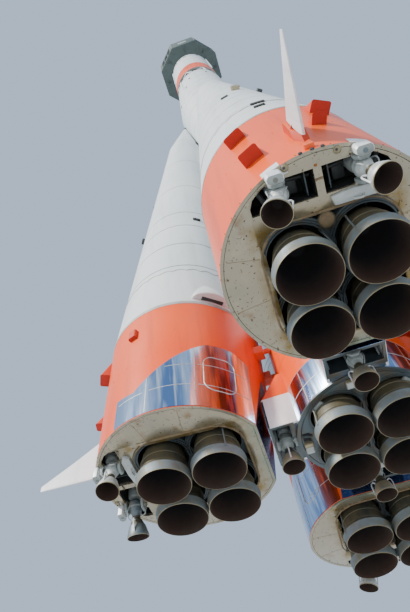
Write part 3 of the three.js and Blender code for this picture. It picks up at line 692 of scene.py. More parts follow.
def tail_ring(along, inset=0.0):
    """Points round the booster's tail at one height, starting at one end of its flat."""
    radius = tail_radius(along) - inset
    flat = min(tail_flat(along) - inset, radius * 0.99999)
    end = radius * math.sin(math.acos(flat / radius))
    arc = cut_circle(radius, flat, ARC_STEPS)[:-1]
    arc += [(-flat, end * (1 - 2 * i / FLAT_STEPS)) for i in range(FLAT_STEPS)]
    return [(x, y, along) for x, y in arc]


def on_skin(azimuth, along, stand=0.0):
    """A place on the booster's skin, Z pointing out of it and X up along it."""
    radius = cone_radius(along) if along > TAIL_LENGTH else tail_radius(along)
    out = Vector(polar(1, azimuth * DEGREE, 0))
    up = Vector((0, 0, 1))
    turn = Matrix((up, out.cross(up), out)).transposed().to_4x4()
    return Matrix.Translation(out * (radius + stand) + up * along) @ turn


def skin_patch(shape, outline, stand, paint, place):
    """A thin cover on the tail's skin. Each outline row is an azimuth, a low end and a high end."""
    rows = []
    for azimuth, low, high in outline:
        heights = [low + (high - low) * k / PATCH_STEPS for k in range(PATCH_STEPS + 1)]
        inner = [polar(tail_radius(along) - 0.01, azimuth * DEGREE, along) for along in heights]
        outer = [polar(tail_radius(along) + stand, azimuth * DEGREE, along) for along in heights]
        rows.append(inner + outer[::-1])
    shape.stack(rows, paint, place)


# Top edge of the polished belt round one side of the tail: azimuth and height
BELT_TOP = [(59, 0.55), (73, 0.51), (82, 0.7), (90, 0.86), (100, 1.04), (110, 1.19), (120, 1.32), (130, 1.33),
            (140, 1.32), (151.5, 1.2)]
BELT_SPANS = [(59.2, 82), (82.6, 112), (112.6, 151)]
BELT_JOINTS = [82.3, 112.3]
BELT_SEAMS = [0.42, 0.84]
# Boxes on the tail: azimuth, foot, head, half width, and how far foot and head stand out
TAIL_BOXES = [
    (-25.3, 1.8, 2.22, 0.135, 0.16, -0.01),
    (-23.5, 0.64, 1.06, 0.127, 0.175, -0.01),
    (24.5, 1.85, 2.25, 0.135, 0.165, -0.01),
    (14.5, 1.0, 1.25, 0.09, 0.145, -0.01),
    (68, 1.85, 2.03, 0.08, 0.07, 0.07),
]


def belt_top(azimuth):
    for (a, low), (b, high) in zip(BELT_TOP, BELT_TOP[1:]):
        if a <= azimuth <= b:
            return low + (high - low) * (azimuth - a) / (b - a)
    return BELT_TOP[-1][1]


def polished_belt(shape, place):
    start, end = BELT_TOP[0][0], BELT_TOP[-1][0]
    steps = [start + (end - start) * i / 40 for i in range(41)]
    # The belt's polished sheet carries a painted reflection of sky and sun
    skin_patch(shape, [(a, 0.012, belt_top(a)) for a in steps], 0.008, "polished_metal", place)
    for low, high in BELT_SPANS:
        for along in BELT_SEAMS:
            inside = [a for a in steps if low <= a <= high and belt_top(a) > along + 0.05]
            if len(inside) > 1:
                seam = [(a, along - 0.004, along + 0.004) for a in inside]
                skin_patch(shape, seam, 0.011, "pale_metal", place)
    for azimuth in BELT_JOINTS:
        high = belt_top(azimuth) - 0.02
        joint = [(azimuth - 0.18, 0.03, high), (azimuth + 0.18, 0.03, high)]
        skin_patch(shape, joint, 0.011, "pale_metal", place)


def hatch(shape, azimuth, along, half_width, half_height, place):
    """A rounded hatch outline raised on the polished belt."""
    loop = rounded(-half_width, half_width, -half_height, half_height, 0.16)
    points = []
    for x, z in [*loop, loop[0], loop[1]]:
        radius = tail_radius(along + z) + 0.01
        points.append(polar(radius, azimuth * DEGREE + x / radius, along + z))
    shape.tube(points, 0.007, "pale_metal", place, 6)


def inner_flat(shape, place):
    """Dark sheet over the flat that faces the core."""
    rows = []
    for along in (0.006, 0.4, 0.8, 1.2):
        flat = tail_flat(along)
        y = 0.99 * math.sqrt(tail_radius(along) ** 2 - flat ** 2)
        rows.append([(x, end, along) for x, end in rectangle(0.02 - flat, -0.005 - flat, -y, y)])
    shape.stack(rows, "dark_sheet", place)


def scoop(shape, place, foot, head, half_width, foot_stand, head_stand):
    """An orange wedge on the tail, painted in shaded orange as painted shade, with a dark red foot face that
    is painted shade.
    """
    rows = []
    for height, stand in ((foot + 0.003, foot_stand), (head - 0.003, head_stand)):
        skin = tail_radius(height)
        outline = rounded(skin - 0.12, skin + stand, -half_width, half_width, 0.034, 24, 0.5)
        rows.append([(x, y, height) for x, y in outline])
    shape.stack(rows, "shade_orange", place)
    skin = tail_radius(foot)
    half = half_width - 0.002
    face = rounded(skin - 0.1, skin + foot_stand - 0.002, -half, half, 0.033, 24, 0.5)
    # Painted shade: the downward foot face is dark red, darker than the wedge's orange
    shape.prism(face, foot - 0.001, foot + 0.006, "red_paint", place, 0)


def rudder_block(shape, place):
    """The rudder's bearing block, with a keel-shaped foot that slopes back to the skin."""
    rows = []
    for out, drop in ((3.8, 0.36), (3.98, 0.2), (4.083, 0.0)):
        rows.append([(out, -0.078, 1.22 - drop), (out, 0.0, 1.05 - drop), (out, 0.078, 1.12 - drop),
                     (out, 0.078, 1.597), (out, -0.078, 1.597)])
    shape.stack(rows, "shade_orange", place, "orange_paint")
    shape.lathe([(0.06, 0), (0.06, 0.006), (0.045, 0.006), (0.0425, 0.0)], "red_paint",
                place @ move(4.082, 0, RUDDER_HEIGHT) @ Z_TO_X, 24, closed=True)


def booster_tail(side, angle):
    place = leaned(angle)
    shape = Shape()
    rows = [tail_ring(TAIL_LENGTH * i / 20) for i in range(21)]
    rows += [tail_ring(TAIL_LENGTH, 0.3), tail_ring(PLATE_THICKNESS + 0.02, 0.075),
             tail_ring(PLATE_THICKNESS + 0.01, 0.04), tail_ring(0.0, 0.04)]
    paints = ["orange_paint"] * 21 + ["dark_steel"] * 2 + ["base_plate"] * 2
    shape.skin(rows, paints, place, closed=True)
    polished_belt(shape, place)
    hatch(shape, 128.5, 0.69, 0.25, 0.35, place)
    inner_flat(shape, place)
    for azimuth, *sizes in TAIL_BOXES:
        scoop(shape, place @ spin(azimuth), *sizes)
    for middle in (-20.6, 20.6):
        strip = [(middle + step, 0.002, 0.13) for step in (-4.6, 0, 4.6)]
        skin_patch(shape, strip, 0.008, "bright_sheet", place)
    rudder_block(shape, spin(angle))
    for y in (-TIE_SIDE, TIE_SIDE):
        shape.box((1.1, 1.6), (y - 0.09, y + 0.09), (TIE_HEIGHT - 0.09, TIE_HEIGHT + 0.09), "orange_paint",
                  spin(angle), 0.01)
    rivets = [on_skin(a, along) for along in (1.22, 2.4) for a in range(-56, 150, 8)]
    shape.bolts(rivets, 0.008, "orange_paint", place)
    shape.bolts([on_skin(a, 0.03) for a in range(-144, 56, 8)], 0.009, "stained_lip", place)
    shape.bolts([on_skin(a, 0.012) for a in (-5.8, -0.4, 4.3)], 0.024, "dark_steel", place)
    at = place @ on_skin(-0.8, 0.09)
    shape.box((-0.035, 0.035), (-0.055, 0.055), (-0.02, 0.05), "orange_paint", at, 0.01)
    shape.build(f"{side}_booster_tail_skin", "root", "orange_paint", f"{side}_booster_tail")


each_booster(booster_tail)


# Booster cone: tank skin with seams, vents and a wavy edge

CONE_SEAMS = [3.98, 5.09, 6.17, 7.07, 9.3, 12.2, CONE_TOP_LENGTH]
# Azimuth, height along the cone, half length and half width
CONE_VENTS = [(121, 6.58, 0.09, 0.06), (-11, 6.97, 0.085, 0.09), (2.4, 3.78, 0.12, 0.07),
              (0.7, 3.32, 0.09, 0.06), (24, 9.7, 0.07, 0.06), (154, 15.6, 0.06, 0.2)]
WAVES = 30
WAVE_STEPS = 8
COVER_AZIMUTH = 127


def booster_cone(side, angle):
    place = leaned(angle)
    shape = Shape()
    foot = TAIL_LENGTH + GAP
    skin, paints = seamed(cone_radius, TAIL_LENGTH + 0.08, NOSE_LENGTH, CONE_SEAMS, "white_paint", 0.01)
    profile = [(0.0, foot), (TAIL_TOP + 0.004, foot), (TAIL_TOP + 0.008, TAIL_LENGTH + 0.02),
               (TAIL_TOP + 0.004, TAIL_LENGTH + 0.075), *skin[:-1], (0.09, 19.32), (0.1, 19.34), (0.1, 19.4),
               (0.07, 19.42), (NOSE_TIP, NOSE_LENGTH), (0, NOSE_LENGTH)]
    shape.lathe(profile, ["seam"] * 4 + paints + ["dark_steel"] * 5, place, 160)
    # Each vent is a near-black box: painted shade for its dark inside
    for azimuth, along, half_length, half_width in CONE_VENTS:
        at = place @ on_skin(azimuth, along)
        shape.box((-half_width, half_width), (-half_length, half_length), (-0.03, 0.022), "dark_hole", at)
    wavy = []
    for i in range(WAVES * WAVE_STEPS + 2):
        along = 3.74 + 0.05 * abs(math.sin(math.pi * i / WAVE_STEPS))
        wavy.append(on_skin(360 * i / (WAVES * WAVE_STEPS), along, 0.001).translation)
    shape.tube(wavy, 0.009, "seam", place, 5)
    shape.box((-0.11, 0.11), (-0.1, 0.1), (-0.04, 0.1), "warm_metal", place @ on_skin(8, 7.9), 0.02)
    shape.box((-0.07, 0.07), (-0.06, 0.06), (-0.04, 0.07), "dark_steel", place @ on_skin(31.5, 7.14), 0.015)
    joint_cover(shape, place)
    shape.build(f"{side}_booster_cone_skin", "root", "white_paint", f"{side}_booster_cone")


def joint_cover(shape, place):
    """A white scoop over the joint between tail and cone, its mouth facing down."""
    rows = []
    for height, stand, half in ((2.62, 0.16, 0.36), (2.64, 0.17, 0.37), (2.8, 0.14, 0.33), (3.0, 0.07, 0.24),
                                (3.16, 0.0, 0.12)):
        row = []
        for across, out in circle(1.0, 24):
            lift = stand * max(out, -0.3) * (1 if abs(across) < 0.99 else 0.6)
            azimuth = COVER_AZIMUTH + half * across / TAIL_TOP / DEGREE
            row.append(on_skin(azimuth, height, lift).translation)
        rows.append(row)
    shape.stack(rows, "white_paint", place)
    mouth = place @ on_skin(COVER_AZIMUTH, 2.612)
    shape.box((-0.01, 0.01), (-0.2, 0.2), (-0.02, 0.055), "dark_steel", mouth, 0.006)


each_booster(booster_cone)


# Booster base plate: a rimmed disc with the cluster's rounded opening, vents and cowls

CLUSTER_OPENING = 0.8
CLUSTER_CORNER = 0.41
CLUSTER_SHIFT = CLUSTER_RADIUS - BASE_RADIUS
RECESS_DEPTH = 0.16
PIT_DEPTH = 0.36
SHROUD_TOP = 0.62
# Each side has one opening for its vent, its chamber and the gap beyond
SIDE_OPENING = [
    (0.835, 0.045), (1.145, 0.045), (1.145, 0.36), (1.112, 0.37), (1.112, 0.56), (1.13, 0.57), (1.1, 0.63),
    (1.02, 0.735), (0.93, 0.78), (0.835, 0.78), (0.835, 0.57), (0.895, 0.56), (0.895, 0.37), (0.835, 0.36),
]
# The recess above a side opening, and the outside of its walls
PIT = [(0.82, 0.04), (1.15, 0.04), (1.15, 0.58), (1.115, 0.645), (1.03, 0.755), (0.95, 0.79), (0.82, 0.79)]
PIT_WALLS = [(0.795, 0.015), (1.175, 0.015), (1.175, 0.59), (1.137, 0.66), (1.045, 0.775), (0.955, 0.815),
             (0.795, 0.815)]
# The sheet's edge that narrows the cluster's opening at each side
SIDE_EDGE = [(0.5, 0.826), (0.5, 0.79), (0.36, 0.752), (-0.6, 0.752), (-0.75, 0.79), (-0.75, 0.826)]
SHROUD_STEPS = [
    (0.362, 0.0), (0.362, -0.12), (0.372, -0.138), (0.386, -0.138), (0.39, -0.12), (0.398, -0.12),
    (0.402, -0.134), (0.416, -0.134), (0.42, -0.11), (0.43, -0.108), (0.434, -0.12), (0.444, -0.12),
    (0.448, -0.09), (0.448, 0.0),
]
COWL = [(1.167, 0.41), (1.19, 0.374), (1.245, 0.374), (1.267, 0.4), (1.267, 0.53), (1.24, 0.557),
        (1.19, 0.557), (1.167, 0.52)]
DOME = [(0, -0.055), (0.045, -0.05), (0.075, -0.035), (0.087, -0.012), (0.098, -0.012), (0.103, 0.004),
        (0.08, 0.012), (0.08, 0.3), (0, 0.3)]
DUCT = [(0.69, 0.1), (0.8, 0.07), (0.825, 0.28), (0.82, 0.56), (0.76, 0.66), (0.68, 0.6)]
CHEEK = [(-0.09, 0.06), (-0.09, -0.03), (-0.05, -0.088), (0.05, -0.088), (0.09, -0.03), (0.09, 0.06)]
CHEEK_PLACES = (-0.152, 0.112)
CHEEK_THICKNESS = 0.04


def cluster_outline(grow, corner, x=CLUSTER_SHIFT):
    half = CLUSTER_OPENING + grow
    return rounded(x - half, x + half, -half, half, corner)


def cluster_recess(shape, place):
    """The lip and the wall of the recess that the bells stand in."""
    inner = cluster_outline(0.0, CLUSTER_CORNER)
    shape.sheet([cluster_outline(0.03, CLUSTER_CORNER + 0.03), inner], -0.014, 0.02, "stained_lip", place)
    wall = cluster_outline(0.012, CLUSTER_CORNER + 0.012)
    shape.sheet([wall, inner], 0.02, RECESS_DEPTH, "shroud", place, 0.002)


def bell_shroud(shape, place, paint, top):
    """Stepped rings round one bell's neck."""
    shape.lathe([(radius, top + drop) for radius, drop in SHROUD_STEPS], paint, place, 72, closed=True)


def pit(shape, sign, place):
    """A recess above a side opening: walls and a roof painted near-black as painted shade."""
    walls = mirrored(PIT_WALLS, sign)
    shape.sheet([walls, mirrored(PIT, sign)], 0.052, PIT_DEPTH, "dark_hole", place, 0.002)
    shape.prism(walls, PIT_DEPTH - 0.001, PIT_DEPTH + 0.02, "dark_hole", place, 0)


def vent_insides(shape, sign, place):
    """Stiffeners and pipes that show dimly inside a vent."""
    shape.box((0.84, 1.13), (sign * 0.12, sign * 0.135), (0.1, 0.34), "shroud", place, 0.004)
    shape.box((0.86, 1.1), (sign * 0.2, sign * 0.34), (0.26, 0.34), "dark_steel", place, 0.02)
    shape.tube([(1.03, sign * 0.05, 0.24), (1.06, sign * 0.76, 0.28)], 0.025, "dark_steel", place)
    shape.tube([(0.9, sign * 0.6, 0.12), (1.08, sign * 0.68, 0.16)], 0.03, "dark_steel", place)


def cowl(shape, sign, place):
    """The cornered cover outside a chamber's outer bearing, with its link to the plate. Its sides are bright
    sheet as painted light and its bottom face darker grey as painted shade.
    """
    outline = mirrored(COWL, sign)
    shape.prism(outline, -0.166, -0.002, "bright_sheet", place, 0.004)
    middle = Vector((1.217, sign * 0.465))
    face = [tuple(middle + 0.94 * (Vector(corner) - middle)) for corner in outline]
    # Painted shade: the bottom face is darker grey than the bright sides
    shape.prism(face, -0.169, -0.164, "grey_paint", place, 0.001)
    shape.lathe([(0, -0.1705), (0.026, -0.1705), (0.028, -0.168), (0, -0.168)], "blue_grey",
                place @ move(1.21, sign * 0.465, 0), 20)
    shape.box((1.127, 1.218), (sign * 0.435, sign * 0.525), (-0.125, 0.015), "grey_paint", place, 0.01)


def chamber_brackets(shape, place):
    """Bearing cheeks each side of a chamber's trunnion."""
    hole = circle(0.0347, 20)
    for x in CHEEK_PLACES:
        shape.sheet([CHEEK, hole], 0.0, CHEEK_THICKNESS, "grey_paint", place @ quarter(x), 0.005)


def plate_fittings(shape, place):
    for x, y in ((1.247, -0.325), (1.257, 0.235)):
        boss = [(0, -0.026), (0.024, -0.026), (0.04, -0.016), (0.044, 0.0)]
        shape.lathe(boss, "bell_edge", place @ move(x, y, 0), 20)
        shape.rod(0.015, -0.028, -0.024, "dark_steel", place @ move(x + 0.01, y - 0.012, 0), 16)
    shape.box((1.19, 1.23), (-0.36, -0.3), (-0.012, 0.001), "pale_metal", place, 0.004)
    shape.lathe(DOME, ["stained_lip"] * 3 + ["bell_neck"] * 5, place @ move(0.553, -0.013, 0), 32)
    shape.prism(DUCT, -0.05, 0.01, "cowl_paint", place, 0.02)
    handle = [(0.73, 0.3, -0.045), (0.72, 0.31, -0.09), (0.72, 0.39, -0.1), (0.73, 0.42, -0.045)]
    shape.tube(smooth_path(handle), 0.011, "pale_metal", place, 8)
    for sign in (-1, 1):
        loop = [(0.9, sign * 0.55, 0.02), (0.9, sign * 0.6, -0.06), (0.96, sign * 0.62, -0.07),
                (1.0, sign * 0.56, 0.0)]
        shape.tube(smooth_path(loop), 0.011, "pale_metal", place, 8)
    rim = [move(x, y, 0) @ UPSIDE_DOWN for x, y in circle(1.272, 36) if x > -1.09]
    shape.bolts(rim, 0.008, "stained_lip", place)
    shape.bolts([move(1.174, -0.01, 0) @ UPSIDE_DOWN], 0.018, "rust", place)
    shape.box((1.013, 1.033), (-0.042, 0.042), (-0.014, 0.001), "stained_lip", place, 0.003)
    for sign in (-1, 1):
        for (x0, y0), (x1, y1) in (((-0.2, 0.83), (-0.25, 1.26)), ((0.34, 0.83), (0.42, 1.19))):
            shape.tube([(x0, sign * y0, 0.003), (x1, sign * y1, 0.003)], 0.005, "stained_lip", place, 6)


def booster_plate(side, angle):
    place = leaned(angle)
    upright = spin(angle) @ move(CLUSTER_RADIUS, 0, 0)
    shape = Shape()
    openings = [cluster_outline(0.0, CLUSTER_CORNER), mirrored(SIDE_OPENING, -1), mirrored(SIDE_OPENING, 1)]
    disc = cut_circle(PLATE_RADIUS, PLATE_FLAT, 140)
    shape.sheet([disc, *openings], 0.0, PLATE_THICKNESS, "base_plate", place, 0.004)
    cluster_recess(shape, place)
    roof = [cluster_outline(0.01, CLUSTER_CORNER, 0.0)] + [circle(0.37, 40, *nozzle) for nozzle in NOZZLES]
    shape.sheet(roof, 0.6, SHROUD_TOP, "shroud", upright, 0.004)
    for nozzle in NOZZLES:
        bell_shroud(shape, upright @ move(*nozzle, 0), "shroud", SHROUD_TOP)
    for sign in (-1, 1):
        shape.prism(mirrored(SIDE_EDGE, sign), -0.012, 0.03, "base_plate", place, 0.004)
        pit(shape, sign, place)
        vent_insides(shape, sign, place)
        cowl(shape, sign, place)
        at = spin(angle) @ move(CHAMBER_OUT, sign * CHAMBER_SIDE, CHAMBER_PIVOT)
        chamber_brackets(shape, at)
        hub = [(0, 0.125), (0.1, 0.125), (0.115, 0.15), (0.12, 0.36), (0, 0.36)]
        shape.lathe(hub, "grey_paint", at, 28)
    plate_fittings(shape, place)
    shape.build(f"{side}_booster_base", "root", "base_plate", f"{side}_booster_base_plate")


each_booster(booster_plate)


# Steering chambers, hanging from a pivot at the origin with the trunnion along X

CHAMBER_OUTSIDE = [
    (0.0, 0.1), (0.06, 0.096), (0.092, 0.07), (0.1, 0.03), (0.1, 0.0), (0.096, -0.05), (0.086, -0.09),
    (0.075, -0.1), (0.06, -0.15), (0.057, -0.18), (0.066, -0.2), (0.08, -0.21), (0.086, -0.225),
    (0.1, -0.255), (0.112, -0.285), (0.121, -0.287), (0.135, -0.33), (0.147, -0.37), (0.153, -0.4),
    (0.158, -0.404), (0.166, -0.452), (0.164, -CHAMBER_LENGTH),
]
CHAMBER_INSIDE = [
    (0.157, -CHAMBER_LENGTH), (0.146, -0.41), (0.13, -0.36), (0.105, -0.3), (0.06, -0.22), (0.0, -0.19),
]


def chamber(name, body, node, place, collar_paint, body_paint="grey_paint"):
    shape = Shape()
    paints = [body_paint] * 8 + ["bell_neck"] * 6 + [collar_paint] * 6 + ["bell_edge"] * 2
    paints += ["bell_inside"] * 5
    shape.lathe(CHAMBER_OUTSIDE + CHAMBER_INSIDE, paints, place, 48)
    for sign in (-1, 1):
        trunnion = place @ Matrix.Rotation(sign * 90 * DEGREE, 4, "Y")
        shape.rod(0.033, 0.06, 0.149, "pale_metal", trunnion, 24)
        loop = [(0, sign * 0.155, -0.41), (0, sign * 0.156, -0.33), (0, sign * 0.155, -0.24),
                (0, sign * 0.125, -0.205), (0, sign * 0.088, -0.225)]
        shape.tube(smooth_path(loop), 0.01, "bright_sheet", place, 8)
        drop = [(0.05, sign * 0.085, 0.02), (0.09, sign * 0.11, -0.06), (0.1, sign * 0.09, -0.16),
                (0.07, sign * 0.07, -0.21)]
        shape.tube(smooth_path(drop), 0.008, "grey_paint", place, 6)
    shape.ring(0.1, 0.112, -0.02, 0.0, "grey_paint", place, 32)
    shape.build(name, body, "chamber_metal", node)


for (side, hand), splay in SPLAY.items():
    letter = "a" if hand < 0 else "b"
    # Lit and shaded copies of one chamber: the left booster's first is blue-grey all over as painted shade,
    # the others have a pale collar and a paler body as painted light
    paints = ("blue_grey", "blue_grey") if (side, hand) == ("left", -1) else ("pale_metal", "cowl_paint")
    place = spin(BOOSTER_ANGLES[side]) @ move(CHAMBER_OUT, hand * CHAMBER_SIDE, CHAMBER_PIVOT)
    chamber(f"{side}_chamber_bell_{letter}", f"{side}_chamber_{letter}", f"{side}_steering_chamber_{letter}",
            place @ Matrix.Rotation(hand * splay * DEGREE, 4, "X"), *paints)
for side, angle in BOOSTER_ANGLES.items():
    chamber(f"core_chamber_bell_{side}", f"core_chamber_{side}", f"core_steering_chamber_{side}",
            spin(angle) @ move(CORE_CHAMBER_OUT, 0, CHAMBER_PIVOT), "warm_metal")


# Air rudders: how far out each station is, its low and high edge and its half thickness

RUDDER_STATIONS = [(4.1, 0.84, 1.62, 0.035), (4.12, 0.842, 1.605, 0.035), (4.6, 0.87, 1.3, 0.023),
                   (5.1, 0.899, 1.012, 0.0105), (5.12, 0.902, 0.998, 0.008)]


def air_rudder(side, angle):
    shape = Shape()
    rows = []
    for out, low, high, half in RUDDER_STATIONS:
        rows.append([(out, half * math.copysign(abs(y) ** 0.6, y), (low + high) / 2 + (high - low) / 2 * z)
                     for z, y in circle(1.0, 28)])
    shape.stack(rows, "rudder_paint", spin(angle))
    shape.rod(0.04, 0, 0.28, "dark_steel", spin(angle) @ move(3.84, 0, RUDDER_HEIGHT) @ Z_TO_X, 24)
    shape.build(f"{side}_rudder_blade", f"{side}_rudder", "rudder_paint", f"{side}_air_rudder")


each_booster(air_rudder)


# Core tail: a tube with a polished belt, four pods and the ties to the boosters

POD_IN = 0.93
POD_FOOT = 0.452
POD_TOP = 1.03
POD_ROOM_TOP = 0.862
POD_OPENING = [
    (1.075, -0.365), (1.318, -0.365), (1.318, -0.104), (1.335, -0.104), (1.335, 0.104), (1.318, 0.104),
    (1.318, 0.365), (1.075, 0.365), (1.075, 0.104), (1.03, 0.104), (1.03, -0.104), (1.075, -0.104),
]


def core_pod(shape, place):
    side = [(POD_IN, POD_FOOT), (1.368, POD_FOOT), (1.368, 1.0), (1.347, POD_TOP), (POD_IN, POD_TOP)]
    # The side walls are near-white bright sheet: polished sides with a painted sun highlight
    for low, high in ((-0.42, -0.382), (0.382, 0.42)):
        shape.prism(side, low, high, "bright_sheet", place @ UPRIGHT, 0.003)
    # The outer face carries a painted reflection of sky and sun
    shape.box((1.337, 1.37), (-0.42, 0.42), (POD_FOOT, 1.0), "polished_metal", place, 0.003)
    roof = [(POD_IN, 0.86), (1.364, 0.86), (1.364, 1.004), (1.03, 1.488), (POD_IN, 1.488)]
    shape.prism(roof, -0.416, 0.416, "orange_paint", place @ UPRIGHT, 0.01)
    cap = [(1.362, 1.008), (1.366, 1.003), (1.034, 1.486), (1.026, 1.486)]
    shape.prism(cap, -0.419, 0.419, "orange_paint", place @ UPRIGHT, 0.001)
    shape.box((0.94, 1.028), (-0.38, 0.38), (POD_FOOT, POD_ROOM_TOP), "shroud", place, 0.004)
    foot = rectangle(1.0, 1.366, -0.414, 0.414)
    shape.sheet([foot, POD_OPENING], POD_FOOT - 0.002, 0.475, "core_plate", place, 0.005)
    # A near-black box over the pod's openings: painted shade inside them
    shape.box((1.03, 1.335), (-0.38, 0.38), (0.846, POD_ROOM_TOP), "dark_hole", place, 0)
    for y in (-0.345, 0.345):
        shape.tube([(1.07, y, 0.56), (1.16, y, 0.84)], 0.014, "pale_metal", place, 8)
    valve = [(0.0, 0.68), (0.07, 0.68), (0.075, 0.84), (0.0, 0.84)]
    shape.lathe(valve, "shroud", place @ move(1.24, 0.27, 0), 20)


def core_tail():
    shape = Shape()
    profile = [(0, CORE_TAIL_TOP - GAP), (1.02, CORE_TAIL_TOP - GAP), (CORE_LOW, 2.88), (CORE_LOW, 1.06),
               (1.021, 1.055), (CORE_LOW, 1.05), (CORE_LOW, 0.425), (1.02, 0.403), (0.966, 0.403),
               (0.962, BAY_TOP), (0, BAY_TOP)]
    # The polished belt carries a painted reflection of sky and sun
    paints = ["orange_paint"] * 3 + ["seam"] + ["polished_metal"] * 2
    paints += ["core_plate"] * 2 + ["dark_steel"] * 2
    shape.lathe(profile, paints, sides=CORE_SIDES)
    for angle in (22, 45, 68):
        for quarter_turn in range(4):
            shape.box((1.018, 1.0275), (-0.004, 0.004), (0.43, 1.04), "pale_metal",
                      spin(angle + 90 * quarter_turn), 0.001)
    for height, paint in ((0.72, "pale_metal"), (1.6, "orange_paint"), (2.84, "orange_paint")):
        shape.ring(1.0, 1.028, height, height + 0.01, paint, sides=CORE_SIDES)
    for angle in BOOSTER_ANGLES.values():
        place = spin(angle)
        core_pod(shape, place)
        for y in (-TIE_SIDE, TIE_SIDE):
            shape.tube([(0.9, y, TIE_HEIGHT), (1.099, y, TIE_HEIGHT)], 0.045, "orange_paint", place, 20)
            shape.ring(0.045, 0.085, 0.0, 0.02, "orange_paint", place @ move(1.0, y, TIE_HEIGHT) @ Z_TO_X)
    shape.build("core_tail_skin", "root", "orange_paint", "core_tail")


def core_base():
    shape = Shape()
    holes = [circle(0.368, 48, *nozzle) for nozzle in NOZZLES]
    shape.sheet([circle(0.958, 120), *holes], 0.402, 0.449, "core_plate", IDENTITY, 0.004)
    for nozzle in NOZZLES:
        bell_shroud(shape, move(*nozzle, 0), "core_plate", 0.53)
    for turn in range(4):
        flank = spin(90 * turn)
        shape.box((0.84, 0.92), (-0.1, 0.1), (0.37, 0.41), "grey_paint", spin(45 + 90 * turn), 0.015)
        shape.box((0.82, 0.945), (-0.2, 0.0), (0.345, 0.41), "warm_metal", flank, 0.012)
        shape.box((0.83, 0.935), (-0.19, -0.06), (0.335, 0.35), "cowl_paint", flank, 0.006)
        # A near-black box: painted shade inside an opening in the flank
        shape.box((0.83, 0.94), (0.03, 0.17), (0.39, 0.41), "dark_hole", flank, 0.01)
        shape.tube([(0.8, 0.1, 0.39), (0.93, 0.14, 0.39)], 0.02, "shroud", flank)
    button = [(0, 0.385), (0.07, 0.385), (0.09, 0.4), (0.09, 0.41), (0, 0.41)]
    shape.lathe(button, "shroud", IDENTITY, 32)
    shape.build("core_base", "root", "base_plate", "core_base_plate")


def core_hanger(side, angle):
    place = spin(angle) @ move(CORE_CHAMBER_OUT, 0, CHAMBER_PIVOT)
    shape = Shape()
    chamber_brackets(shape, place)
    top = 0.346
    for x in CHEEK_PLACES:
        shape.box((x, x + CHEEK_THICKNESS), (-0.088, 0.088), (0.055, top), "grey_paint", place, 0.006)
    post = [(0, 0.12), (0.085, 0.12), (0.104, 0.15), (0.104, 0.2), (0.096, 0.21), (0.096, top), (0, top)]
    shape.lathe(post, "grey_paint", place, 32)
    shape.tube([(-0.13, 0, 0.3), (0.13, 0, 0.3)], 0.03, "grey_paint", place, 12)
    shape.build(f"core_hanger_frame_{side}", "root", "frame_steel", f"core_hanger_{side}")


core_tail()
core_base()
each_booster(core_hanger)


# Core tanks

# Azimuth, height, half height and half width
TANK_VENTS = [(250, 24.9, 0.14, 0.05), (236, 23.4, 0.1, 0.06), (292, 25.3, 0.12, 0.05),
              (205, 22.0, 0.12, 0.06), (70, 23.0, 0.14, 0.06), (120, 25.0, 0.12, 0.06)]


def upper_radius(height):
    if height < FLARE_END:
        return CORE_LOW + (CORE_WIDE - CORE_LOW) * (height - FLARE_START) / (FLARE_END - FLARE_START)
    return CORE_WIDE + (CORE_TOP_RADIUS - CORE_WIDE) * (height - FLARE_END) / (CORE_TOP - FLARE_END)


def lower_tank():
    shape = Shape()
    low, high = CORE_TAIL_TOP + GAP, FLARE_START - GAP
    seams = [4.1, 6.3, 8.5, 10.7, 12.9, 15.1]
    skin, paints = seamed(lambda height: CORE_LOW, low, high, seams, "white_paint")
    shape.lathe([(0, low), *skin, (0, high)], ["seam", *paints, "seam"], sides=TANK_SIDES)
    for angle in (45, 135, 225, 315):
        shape.box((1.0, 1.06), (-0.05, 0.05), (low + 0.1, high - 0.3), "white_paint", spin(angle), 0.015)
    shape.build("core_lower_skin", "root", "white_paint", "core_lower_tank")


def upper_tank():
    shape = Shape()
    low, high = FLARE_START + GAP, CORE_TOP - GAP
    below, first = seamed(upper_radius, low, FLARE_END, [17.4, 18.9, 20.3], "white_paint")
    above, second = seamed(upper_radius, FLARE_END, high, [21.1, 22.6, 24.2, 25.8], "white_paint")
    corners = [(0, low), *below, *above[1:], (0, high)]
    shape.lathe(corners, ["seam", *first, *second, "dark_steel"], sides=CORE_SIDES)
    hoop = [(1.32, 26.5), (1.345, 26.5), (1.345, 26.56), (1.33, 26.6)]
    shape.lathe(hoop, "grey_paint", sides=TANK_SIDES, closed=True)
    # Each vent is a near-black box: painted shade for its dark inside
    for azimuth, height, half_height, half_width in TANK_VENTS:
        radius = upper_radius(height)
        shape.box((radius - 0.05, radius + 0.01), (-half_width, half_width),
                  (height - half_height, height + half_height), "dark_hole", spin(azimuth), 0.01)
    out = upper_radius(25.4) + 0.06
    for angle in (45, 225):
        shape.box((1.3, out), (-0.07, 0.07), (21.3, 26.3), "white_paint", spin(angle), 0.02)
    for angle in BOOSTER_ANGLES.values():
        place = leaned(angle) @ move(0, 0, NOSE_LENGTH)
        shape.box((-0.12, 0.06), (-0.07, 0.07), (0.001, 0.2), "grey_paint", place, 0.012)
        shape.rod(0.055, 0.04, 0.16, "dark_steel", place @ move(0.02, 0, 0))
    shape.build("core_upper_skin", "root", "white_paint", "core_upper_tank")


lower_tank()
upper_tank()


# Lattice, third-stage engine and third stage

SMALL_BELL_OUTSIDE = [
    (0.0, 27.76), (0.085, 27.74), (0.09, 27.6), (0.105, 27.45), (0.14, 27.25), (0.19, 27.05), (0.236, 26.952),
]
SMALL_BELL_INSIDE = [(0.228, 26.952), (0.18, 27.06), (0.13, 27.26), (0.08, 27.5), (0.0, 27.55)]
SMALL_PITCH = 0.31
LATTICE_RADIUS = 1.28
